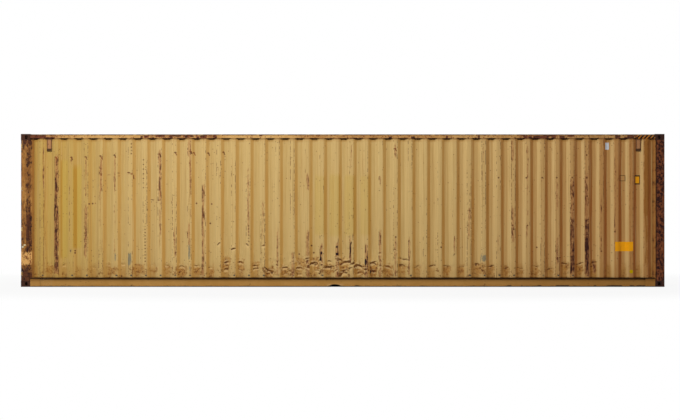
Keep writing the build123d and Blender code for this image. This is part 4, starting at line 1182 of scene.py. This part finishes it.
def mix_end_plate_paint():
    look = worn_paint("end_plate_paint", LOW_RAIL_SHADES, 0.4, 0.15)
    low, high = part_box("rail_end_plates")
    top = look.rise(look.z + 0.02 * (look.mottle - 0.5), high.z - 0.026, high.z - 0.018)
    # Browner towards the right end, and a little darker all over as painted shade, like the shaded
    # web.
    look.cover(0.25 + 0.35 * look.rise(look.x, 0.5, BROWNED_AT), (158, 104, 48))
    # Painted shade under the upper flange, darkest at the top.
    shade_below_flange = look.rise(look.z, high.z - 0.11, high.z - 0.02) ** 1.6
    look.cover(shade_below_flange * 0.6, (92, 56, 14))
    # Painted shadow line along the top of the plates.
    look.cover(top * 0.9, (46, 28, 16))
    return coat_done(look)


rail_paint = coat_done(worn_paint("rail_paint", RAIL_SHADES, 0.42, 0.15))
coat_node(["top_side_rail_far", "front_top_rail", "bottom_side_rail_far", "front_sill"], rail_paint)
coat_node(["door_header", "door_sill"], rail_paint)
coat_node(["top_side_rail_near"], mix_top_rail_paint())
coat_node(["rail_end_plates"], mix_end_plate_paint())
print("rails painted")

# %% [markdown]
# ## Posts
# The two posts in view have aged differently. The left one still shows orange-brown paint, with
# a dark band of painted shade, in rust colours, on its slope and a pale patch near its foot. The
# right one is almost all dark red-brown, with a painted shadow line at the inner edge of its face.
# Both get the same recipe with other colours, and masks by place add what is told above.

# %% Post paint
def mix_rear_post_paint():
    palette = (158, 106, 52), (184, 132, 70), (128, 80, 40), (72, 42, 30)
    look = worn_paint("rear_post_paint", palette, 0.5, 0.5)
    streak = look.streaks((38, 38, 5), 4.0, 0.66)
    speck = look.streaks((30, 30, 19), 3.0, 0.66)
    cloud = look.noise(2.2, 3.0, 0.6)
    rough = (speck - 0.5) * 1.7 + (streak - 0.5) * 1.7 + (cloud - 0.5) * 0.9
    foot = look.band(look.z + 0.16 * (streak - 0.5), up(269.5), up(256.5), 0.016)
    pale = foot * look.rise(look.x, REAR + 0.225, REAR + 0.19)
    look.cover(pale * 0.94, (240, 190, 118), (206, 152, 84), look.mottle)
    # A darker band on the slope: painted shade, drawn in with the rust colours.
    slope = look.band(look.x, REAR + 0.100, REAR + 0.190, 0.03)
    outer = look.rise(look.x, REAR + 0.030, REAR + 0.006)
    ends = look.rise(look.z, TOP - 0.5, TOP - 0.14) | look.rise(look.z, 0.44, 0.22)
    damp = look.rise(look.z, 1.9, 1.3) * (1.0 - pale)
    dark = (0.46 * slope | 0.34 * outer | 0.6 * ends) - 0.9 * pale
    reach = dark + 0.2 * damp + rough
    look.cover(look.rise(reach, 0.0, 0.30) * 0.55, (126, 78, 42), (96, 58, 36), streak)
    blotch = look.blend(look.rise(speck, 0.42, 0.6), (88, 50, 36), (46, 27, 28))
    look.cover(look.rise(reach, 0.42, 0.58) * 0.88, blotch)
    chip = look.rise((speck - 0.5) * 2.4 + 0.3 * outer + 0.2 * damp, 0.42, 0.54)
    look.cover(chip * 0.9, (26, 18, 26))
    look.cover(pale * look.rise(speck, 0.52, 0.57) * 0.85, (112, 52, 28))
    bare = near_place(look, 22.6, 250.4, 1.3, 1.2) | near_place(look, 24.6, 248.4, 1.5, 1.0)
    look.cover(look.rise(bare + 0.8 * (speck - 0.5), 0.4, 0.6) * 0.9, (216, 214, 178))
    flange = look.rise(look.x, REAR + 0.200, REAR + 0.206)
    look.cover(flange * 0.75, (168, 116, 50), (126, 82, 38), look.mottle)
    return coat_done(look, 0.66, 0.8)


def mix_front_post_paint():
    palette = (106, 58, 36), (126, 72, 44), (74, 38, 26), (36, 20, 20)
    look = worn_paint("front_post_paint", palette, 0.5, 0.2)
    pits = look.streaks((26, 26, 19), 4.0, 0.68)
    rough = (pits - 0.5) * 3.0 + (look.mottle - 0.5) * 0.6
    look.cover(look.rise(rough, 0.0, 0.10) * 0.9, (34, 19, 22))
    look.cover(look.rise(rough, -0.25, -0.40) * 0.7, (152, 88, 54))
    outside = look.rise(look.y, NEAR + 0.059, NEAR + 0.039)
    flange = look.rise(look.x, FRONT - 0.156, FRONT - 0.170) * outside
    kept = flange * look.rise(look.mottle + 0.5 * (look.drip - 0.5), 0.76, 0.5)
    look.cover(kept * 0.9, (184, 130, 68), (146, 96, 46), look.mottle)
    # Painted shadow line along the fold at the post's inner edge.
    edge = look.rise((look.x - (FRONT - 0.158)).size(), 0.014, 0.004)
    look.cover(edge * 0.8, (40, 24, 18))
    return coat_done(look, 0.7, 0.8)


rear_post_paint = mix_rear_post_paint()
coat_node(["rear_post_near", "rear_post_far", "hinge_lugs_near", "hinge_lugs_far"], rear_post_paint)
coat_node(["front_post_near", "front_post_far"], mix_front_post_paint())
print("posts painted")

# %% [markdown]
# ## Corner castings
# Twistlocks and slings rub the castings bare, and bare cast steel turns dark brown. The recipe
# is set to heavy wear, with a coarse bump, because a casting is never as smooth as rolled plate.

# %% Casting paint
CASTING_SHADES = (56, 34, 28), (74, 46, 34), (52, 32, 26), (28, 18, 20)
castings = [name for name in nodes if "corner_fittings" in name]
cast_steel = worn_paint("casting_paint", CASTING_SHADES, 0.62, 0.1, scale=1.6)
coat_node(castings, coat_done(cast_steel, 0.6, 0.9))
print(len(castings), "casting nodes painted")

# %% [markdown]
# ## Doors and their gear
# The leaves have the walls' ochre. Bars, brackets, handles and keepers are galvanised steel,
# which dulls to a spangled grey and rusts at its edges. Rubber and the underframe's wax coating
# are dark and plain, but neither is even.

# %% Door paint, zinc, rubber and wax
def mix_zinc():
    look = Finish("galvanised_steel", Specular_IOR_Level=0.5)
    sockets = {"Vector": look.place, "Scale": 70.0}
    cells = look.add("ShaderNodeTexVoronoi", None, sockets, out="Color")
    spangle = look.apart(cells, "Color")[0]
    cloud = look.noise(5.0, 4.0, 0.6)
    grain = look.noise(80.0, 3.0, 0.6)
    look.coat = look.blend(spangle * 0.5 + cloud * 0.4, (150, 148, 142), (190, 189, 184))
    dull = look.noise(1.4, 3.0, 0.6)
    look.cover(look.rise(dull, 0.4, 0.62) * 0.5, (132, 118, 96))
    bloom = look.rise(cloud + 0.5 * grain + 0.3 * (dull - 0.5), 0.66, 0.82)
    look.cover(bloom * 0.85, (142, 92, 52), (86, 52, 34), grain)
    rough = (0.42 + 0.2 * spangle + 0.35 * bloom).within()
    return look.finish(rough, grain + bloom, 0.0008, 0.4, metallic=(0.75 - 0.75 * bloom).within())


def mix_rubber():
    look = Finish("seal_rubber", Specular_IOR_Level=0.3)
    dust = look.noise(14.0, 5.0, 0.6)
    look.coat = look.blend(look.rise(dust, 0.4, 0.75), (30, 29, 28), (74, 68, 60))
    return look.finish((0.62 + 0.3 * dust).within(), look.noise(160.0, 2.0), 0.0006, 0.35)


def mix_wax():
    look = Finish("underframe_coating", Specular_IOR_Level=0.4)
    lump = look.noise(22.0, 5.0, 0.6)
    dirt = look.noise(3.0, 4.0, 0.6)
    look.coat = look.blend(look.rise(dirt, 0.35, 0.7), (46, 40, 36), (86, 70, 54))
    look.cover(look.rise(dirt + 0.3 * lump, 0.72, 0.92) * 0.7, (110, 68, 40))
    return look.finish((0.5 + 0.35 * lump).within(), lump, 0.002, 0.6)


def mix_door_paint():
    palette = (192, 158, 98), (182, 147, 86), (150, 98, 48), (84, 48, 30)
    look = worn_paint("door_paint", palette, 0.38, 0.9)
    leaning = look.apart(look.add("ShaderNodeTexCoord", out="Normal"))[2]
    ledge = look.rise(leaning, 0.15, 0.6) * look.rise(look.mottle, 0.2, 0.5)
    look.cover(ledge * 0.6, (128, 84, 42))
    look.cover(look.rise(leaning, -0.15, -0.6) * 0.4, (140, 96, 48))
    streak = look.streaks((24, 24, 0.7), 4.0, 0.62)
    look.cover(look.rise(streak, 0.54, 0.68) * 0.45, (146, 98, 48))
    look.cover(look.rise(streak, 0.46, 0.32) * 0.4, (206, 178, 120))
    splashed = look.rise(look.drip + 0.4 * (look.grain - 0.5), 0.36, 0.62)
    look.cover(look.rise(look.z, 0.75, 0.2) * splashed * 0.6, (132, 84, 40))
    meeting = look.rise(look.y.size(), 0.055, 0.02) * look.rise(look.mottle, 0.4, 0.6)
    look.cover(meeting * 0.7, (96, 58, 34))
    return coat_done(look)


door_paint = mix_door_paint()
zinc, rubber, wax = mix_zinc(), mix_rubber(), mix_wax()
GEAR = ("_locking_bars", "_bar_brackets", "_handles", "_handle_catches")
for side in ("near_door", "far_door"):
    coat_node([side + "_frame", side + "_panel", side + "_hinges"], door_paint)
    coat_node([side + "_seal"], rubber)
    coat_node([side + part for part in GEAR], zinc)
coat_node(["cam_keepers"], zinc)
coat_node(["cross_members", "gooseneck_tunnel"], wax)
print("doors and underframe done")

# %% [markdown]
# ## Finding the solids in a node
# Bolts belong on brackets, and a node may hold eight of those. Merging a copy of its mesh and
# walking its edges gives one box for each solid, so the small parts follow the frame if a size
# there changes.

# %% Boxes of the solids
def solids_of(node):
    """Lowest and highest corner of every separate solid in a CAD node."""
    bm = bmesh.new()
    bm.from_mesh(nodes[node].data)
    bmesh.ops.remove_doubles(bm, verts=bm.verts, dist=1e-5)
    left, found = set(bm.verts), []
    while left:
        front, group = [left.pop()], []
        while front:
            vert = front.pop()
            group.append(vert.co.copy())
            for edge in vert.link_edges:
                other = edge.other_vert(vert)
                if other in left:
                    left.discard(other)
                    front.append(other)
        found.append([Vector(pick(axis) for axis in zip(*group)) for pick in (min, max)])
    bm.free()
    return sorted(found, key=lambda b: tuple(b[0]))


print("brackets on the near door:", len(solids_of("near_door_bar_brackets")))

# %% [markdown]
# ## Ventilators
# The covers are moulded and painted over with the wall, a little pinker than the sheet. Their
# lower edge is open for the air; the dark slot there and the dark lines along the top and sides
# are painted shade.

# %% Vent covers
def mix_vent_cover():
    palette = (168, 116, 74), (178, 128, 86), (128, 80, 48), (74, 44, 32)
    look = worn_paint("vent_cover", palette, 0.34, 0.5)
    vent_low, vent_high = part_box("ventilators")
    low_edge = look.rise(look.z, vent_low.z + 0.048, vent_low.z + 0.038)
    top_edge = look.rise(look.z, vent_high.z - 0.030, vent_high.z - 0.016)
    sides = look.strongest(
        look.rise((look.x - (low.x + high.x) / 2).size(), 0.026, 0.036)
        * look.band(look.x, low.x, high.x, 0.01)
        for low, high in solids_of("ventilators")
    )
    # Painted shade: a dark slot at the open lower edge, dark lines along the top and down both
    # sides.
    look.cover(0.85 * low_edge | 0.7 * top_edge | 0.75 * sides, (34, 22, 16))
    return coat_done(look, 0.55, 0.3)


vent_paint = mix_vent_cover()
coat_node(["ventilators"], vent_paint)
print("vent covers done")

# %% [markdown]
# ## Bolts, by geometry nodes
# A bolt head repeats over a hundred times. The tree puts one domed head on every point of a
# mesh, turned the way that the point's `facing` says, then makes the copies real and gives them
# their material. Sizes are named inputs, so the same tree makes door bolts and vent screws.

# %% Bolt tree
class Recipe(Maker):
    """A geometry node tree with named inputs."""

    def __init__(self, name, **inputs):
        super().__init__(bpy.data.node_groups.new(name, "GeometryNodeTree"))
        inputs = {"Geometry": "Geometry", **inputs}
        self.sockets = {label: self.declare(label, kind, "INPUT") for label, kind in inputs.items()}
        self.declare("Geometry", "Geometry", "OUTPUT")
        self.given = self.tree.nodes.new("NodeGroupInput")

    def declare(self, label, kind, way):
        item = self.tree.interface.new_socket(label, in_out=way, socket_type="NodeSocket" + kind)
        return item.identifier

    def given_as(self, label):
        return Wire(self, self.given.outputs[label])

    def on_points(self, shape):
        """Ends the tree with the shape on every point, turned the way that its `facing` says."""
        kind = {"data_type": "FLOAT_VECTOR"}
        facing = self.add("GeometryNodeInputNamedAttribute", kind, {"Name": "facing"})
        turn = self.add("FunctionNodeAlignRotationToVector", {"axis": "Z"}, {"Vector": facing})
        placed = {"Points": self.given_as("Geometry"), "Instance": shape, "Rotation": turn}
        self.close(self.add("GeometryNodeInstanceOnPoints", None, placed))

    def close(self, shape):
        """Makes the copies real, sets the material and ends the tree."""
        real = self.add("GeometryNodeRealizeInstances", None, {0: shape})
        sockets = {"Geometry": real, "Material": self.given_as("Finish")}
        self.lead_out("NodeGroupOutput", self.add("GeometryNodeSetMaterial", None, sockets))


def bolt_tree():
    recipe = Recipe("bolt_heads", Width="Float", Height="Float", Sides="Int", Finish="Material")
    width, height = recipe.given_as("Width"), recipe.given_as("Height")
    sizes = {"Vertices": recipe.given_as("Sides"), "Radius Bottom": width * 0.5, "Depth": height}
    sizes["Radius Top"] = width * 0.36
    recipe.on_points(recipe.add("GeometryNodeMeshCone", None, sizes))
    return recipe


def bake(name, places, facings, recipe, body, slot, replaced=(), **values):
    """Runs a tree on points, keeps the plain result and lets it ride on a body."""
    mesh = bpy.data.meshes.new(name)
    mesh.from_pydata([tuple(p) for p in places], [], [])
    facing = mesh.attributes.new("facing", "FLOAT_VECTOR", "POINT")
    facing.data.foreach_set("vector", np.array(facings, np.float32).ravel())
    piece = link_new(name, mesh)
    modifier = piece.modifiers.new(name, "NODES")
    modifier.node_group = recipe.tree
    for label, value in values.items():
        modifier[recipe.sockets[label]] = value
    graph = bpy.context.evaluated_depsgraph_get()
    made = bpy.data.meshes.new_from_object(piece.evaluated_get(graph))
    piece.modifiers.remove(modifier)
    piece.data = made
    made.name = name
    settle(piece, body, replaced)
    print(name, "has", len(made.polygons), "faces")
    return piece


bolts = bolt_tree()
print("bolt tree has inputs", sorted(bolts.sockets))

# %% [markdown]
# ## Where the bolts go
# Two rows of bolts hold every hinge blade, four bolts hold every bar bracket, and the vent
# covers have a screw near each corner. The places come from the boxes of the solids.

# %% Bolts on doors and vents
DOOR_FACE, BLADE_STEEL, STRAP_STEEL = REAR + 0.064, 0.011, 0.008
BRACKET_ACROSS, BRACKET_UP, BLADE_INSETS, BLADE_UP = 0.036, 0.016, (0.022, 0.062), 0.019


def door_bolts(side):
    outward = -1 if side == "near_door" else 1
    places = []
    for low, high in solids_of(side + "_bar_brackets"):
        middle = (low + high) / 2
        for across in (-BRACKET_ACROSS, BRACKET_ACROSS):
            for rise in (-BRACKET_UP, BRACKET_UP):
                places.append((DOOR_FACE - STRAP_STEEL, middle.y + across, middle.z + rise))
    for low, high in solids_of(side + "_hinges"):
        middle = (low.z + high.z) / 2
        edge = high.y if outward < 0 else low.y
        for inset in BLADE_INSETS:
            for rise in (-BLADE_UP, BLADE_UP):
                places.append((DOOR_FACE - BLADE_STEEL, edge + outward * inset, middle + rise))
    return places


for side in ("near_door", "far_door"):
    places = door_bolts(side)
    how = (bolts, side, "galvanised_steel")
    rearward = [(-1, 0, 0)] * len(places)
    bake(side + "_bolts", places, rearward, *how, Width=0.017, Height=0.007, Sides=6, Finish=zinc)

places, facings = [], []
for low, high in solids_of("ventilators"):
    outward = -1 if low.y < 0 else 1
    face = low.y if outward < 0 else high.y
    for x in (low.x + 0.012, high.x - 0.012):
        for z in (low.z + 0.022, high.z - 0.022):
            places.append((x, face, z))
            facings.append((0, outward, 0))
how = (bolts, "box", "vent_cover")
bake("vent_screws", places, facings, *how, Width=0.009, Height=0.003, Sides=8, Finish=vent_paint)

# %% [markdown]
# ## Plywood floor
# The floor is plywood, 28 mm thick, laid in long boards with a narrow joint between them. A
# board repeats along a grid, which is a rule, so geometry nodes lay the whole floor: a grid of
# points, a board on each, a joint between. The solid under it is one plain slab, and this
# stands for it.

# %% Lay the floor boards
def floor_tree():
    inputs = {"Across": "Int", "Lengthwise": "Int", "Finish": "Material"}
    inputs.update(dict.fromkeys(("Length", "Width", "Thickness", "Joint"), "Float"))
    recipe = Recipe("floor_boards", **inputs)
    length, width, joint = (recipe.given_as(n) for n in ("Length", "Width", "Joint"))
    lengthwise, across = recipe.given_as("Lengthwise"), recipe.given_as("Across")
    spread = {"Size X": length * (lengthwise - 1.0), "Size Y": width * (across - 1.0)}
    spread |= {"Vertices X": lengthwise, "Vertices Y": across}
    grid = recipe.add("GeometryNodeMeshGrid", None, spread)
    sides = {0: length - joint, 1: width - joint, 2: recipe.given_as("Thickness")}
    size = recipe.add("ShaderNodeCombineXYZ", None, sides)
    board = recipe.add("GeometryNodeMeshCube", None, {"Size": size})
    placed = {"Points": grid, "Instance": board}
    recipe.close(recipe.add("GeometryNodeInstanceOnPoints", None, placed))
    return recipe


def mix_plywood():
    look = Finish("plywood", Specular_IOR_Level=0.35)
    veins = look.streaks((1.2, 26, 26), 5.0)
    pores = look.streaks((9, 240, 240))
    spilt = look.noise(1.1, 5.0, 0.65)
    look.coat = look.blend(look.rise(veins, 0.35, 0.68), (120, 78, 54), (92, 58, 42))
    look.cover(look.rise(pores, 0.55, 0.75) * 0.5, (58, 38, 30))
    look.cover(look.rise(spilt, 0.52, 0.74) * 0.6, (66, 50, 42))
    lane = look.rise(look.y.size(), 0.72, 0.5) * look.rise(veins + 0.5 * spilt, 0.6, 0.9)
    look.cover(lane * 0.4, (150, 122, 94))
    return look.finish((0.55 + 0.3 * spilt).within(), pores + 0.6 * veins, 0.0008, 0.5)


floor_low, floor_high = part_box("floor")
LENGTHWISE, ACROSS, JOINT = 5, 2, 0.003
slab = floor_high - floor_low
boards = bake(
    "floor_boards", [(0, 0, 0)], [(0, 0, 1)], floor_tree(), "box", "plywood", ("floor",),
    Across=ACROSS, Lengthwise=LENGTHWISE, Length=slab.x / LENGTHWISE, Width=slab.y / ACROSS,
    Thickness=slab.z, Joint=JOINT, Finish=mix_plywood(),
)
for vertex in boards.data.vertices:
    vertex.co += (floor_low + floor_high) / 2

# %% [markdown]
# ## Floor screws
# Every board is screwed to the cross members under it, in rows across the box. The rows follow
# the boxes of the members, and each screw sits flush, so its head is low.

# %% Floor screws
SCREW_GAP, SCREW_INSET, MIDDLE_JOINT = 0.29, 0.05, 0.02
places = []
for low, high in solids_of("cross_members"):
    count = max(2, round((high.y - low.y) / SCREW_GAP))
    for i in range(count):
        y = low.y + SCREW_INSET + (high.y - low.y - 2 * SCREW_INSET) * i / (count - 1)
        if abs(y) > MIDDLE_JOINT:
            places.append(((low.x + high.x) / 2, y, floor_high.z - 0.0008))
how = (bolts, "box", "galvanised_steel")
upward = [(0, 0, 1)] * len(places)
bake("floor_screws", places, upward, *how, Width=0.012, Height=0.002, Sides=8, Finish=zinc)

# %% [markdown]
# ## Lashing rings
# Cargo is tied to rings welded along both bottom rails. A ring is a circle swept by a smaller
# one, which geometry nodes do with a curve and its profile, and one ring goes on every point.

# %% Lashing rings
def ring_tree():
    recipe = Recipe("lashing_rings", Radius="Float", Bar="Float", Finish="Material")
    ring, bar = (
        recipe.add(
            "GeometryNodeCurvePrimitiveCircle", {"mode": "RADIUS"},
            {"Resolution": steps, "Radius": recipe.given_as(label)},
        )
        for label, steps in (("Radius", 18), ("Bar", 8))
    )
    tube = recipe.add("GeometryNodeCurveToMesh", None, {"Curve": ring, "Profile Curve": bar})
    recipe.on_points(recipe.add("GeometryNodeSetShadeSmooth", None, {0: tube}))
    return recipe


RINGS, RIDGES_APART, RING_INSET = 10, 4, 0.031
places, facings = [], []
for side in (-1, 1):
    for i in range(RINGS):
        x = REAR + FIRST_RIDGE + PITCH * (1.5 + RIDGES_APART * i)
        places.append((x, side * (abs(floor_high.y) - RING_INSET), floor_high.z + 0.008))
        facings.append((0, -side * 0.25, 0.97))
how = (ring_tree(), "box", "galvanised_steel")
bake("lashing_rings", places, facings, *how, Radius=0.023, Bar=0.0055, Finish=zinc)

# %% [markdown]
# ## The bottom rail in view
# The rail is a channel with its flanges outwards. Its lower flange is chipped along the edge and
# bent up at one place left of the middle, where a fork has caught it. The solid's section is
# swept again here in short steps, so that the flange can be bent.

# %% Bottom rail with its bent flange
LOWER_FLANGE, WEB_FOOT, UPPER_LIP = (6, 7), (0, 5), (2, 3)
BENT_FROM, BENT_AT, BENT_TO = 327.8, 335.8, 343.8


def rail_section(low, high):
    """Outline of the channel in across and height, as in the solid."""
    steel, reach = 0.0045, 0.030
    web, inner = high.y, high.y - steel
    return [
        (web, low.z), (web, high.z), (low.y, high.z), (low.y, high.z - steel),
        (inner, high.z - steel), (inner, low.z + steel), (web - reach, low.z + steel),
        (web - reach, low.z),
    ]


def sweep_rail(name, node, steps):
    """The section at many places along, joined up, with its foot bent where the fork struck."""
    low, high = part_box(node)
    outline = rail_section(low, high)
    struck = np.linspace(along(BENT_FROM), along(BENT_TO), 30)
    places = np.unique(np.concatenate([np.linspace(low.x, high.x, steps), struck]))
    points = []
    for x in places:
        bend = math.exp(-(((x - along(BENT_AT)) / 0.100) ** 4))
        wave = 0.5 + 0.5 * math.sin(x * 9.1) * math.sin(x * 3.7 + 1.0)
        for i, (y, z) in enumerate(outline):
            if i in LOWER_FLANGE:
                z += 0.034 * bend + 0.0022 * wave
                y += 0.004 * bend
            if i in WEB_FOOT:
                z += 0.030 * bend
            if i in UPPER_LIP:
                z -= 0.0015 * (1 - wave)
            points.append((x, y, z))
    index = np.arange(len(points)).reshape(len(places), len(outline))
    following = np.roll(index, -1, axis=1)
    corners = [index[:-1], following[:-1], following[1:], index[1:]]
    faces = np.stack(corners, axis=-1).reshape(-1, 4).tolist()
    faces += [index[0][::-1].tolist(), index[-1].tolist()]
    mesh = bpy.data.meshes.new(name)
    mesh.from_pydata(points, [], faces)
    bm = bmesh.new()
    bm.from_mesh(mesh)
    bmesh.ops.recalc_face_normals(bm, faces=bm.faces)
    bm.to_mesh(mesh)
    bm.free()
    return mesh


rail_mesh = sweep_rail("bottom_rail_near", "bottom_side_rail_near", 240)
print("bottom rail has", len(rail_mesh.polygons), "faces")

# %% [markdown]
# ## Paint of the bottom rail
# The rail has the same coat as its end plates, but the ground has chipped its lower edge, and
# somebody has scrawled on its left end with chalk. Painted shade darkens the web under the upper
# flange, and the bent flange gets a painted highlight.
# Chips are noted by both ends of each chipped stretch.

# %% Bottom rail paint
RAIL_CHIPS = (
    (356, 359), (509, 512), (523, 523), (539, 542), (558, 570), (596, 597), (609, 623), (632, 635),
    (639, 654),
)


def mix_bottom_rail_paint():
    look = worn_paint("bottom_rail_paint_near", LOW_RAIL_SHADES, 0.42, 0.15)
    low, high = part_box("bottom_side_rail_near")
    look.cover(look.rise(look.x, 0.5, BROWNED_AT) * 0.45, (158, 104, 48))
    # Painted shade under the upper flange, darkest at the top of the web.
    shade_below_flange = look.rise(look.z, high.z - 0.115, high.z - 0.025) ** 1.6
    look.cover(shade_below_flange * 0.6, (92, 56, 14))
    chipped = look.strongest(
        look.band(look.x, along(left), along(right + 1), 0.02) for left, right in RAIL_CHIPS
    )
    edge = look.rise(look.z, low.z + 0.014, low.z + 0.003)
    ragged = look.rise(look.z + 0.02 * (look.mottle - 0.5), low.z + 0.022, low.z + 0.014)
    edge = edge | chipped * ragged
    through = (look.mottle - 0.5) * 1.4 + (look.grain - 0.5) + 0.6 * chipped
    bare = edge * look.rise(through, 0.0, 0.16)
    look.cover(bare * 0.85, (74, 56, 48), (34, 30, 34), look.grain)
    # Painted shadow line under the flange's edge, broken up by a streaky noise.
    shadow_line_below_flange = look.rise(look.z + 0.016 * (look.mottle - 0.5), high.z - 0.030, high.z - 0.020)
    look.cover(shadow_line_below_flange * (0.45 + 0.4 * look.rise(look.drip, 0.3, 0.5)), (50, 30, 20))
    # Painted highlight on the bent-up flange.
    bent = look.band(look.x, along(BENT_FROM), along(BENT_TO), 0.03)
    pale = bent * look.rise(look.z, low.z + 0.06, low.z + 0.03)
    look.cover(pale * 0.5, (196, 160, 108))
    scrawl = look.streaks((30, 30, 60), 2.0, 0.5)
    chalk = look.band(scrawl, 0.49, 0.505, 0.006) * look.band(look.x, along(31), along(52), 0.05)
    look.cover(chalk * 0.45, (206, 192, 168))
    return coat_done(look)


rail_mesh.materials.append(mix_bottom_rail_paint())
bottom_rail = link_new("bottom_rail_near", rail_mesh)
settle(bottom_rail, "box", ("bottom_side_rail_near",))
print("bottom rail painted")
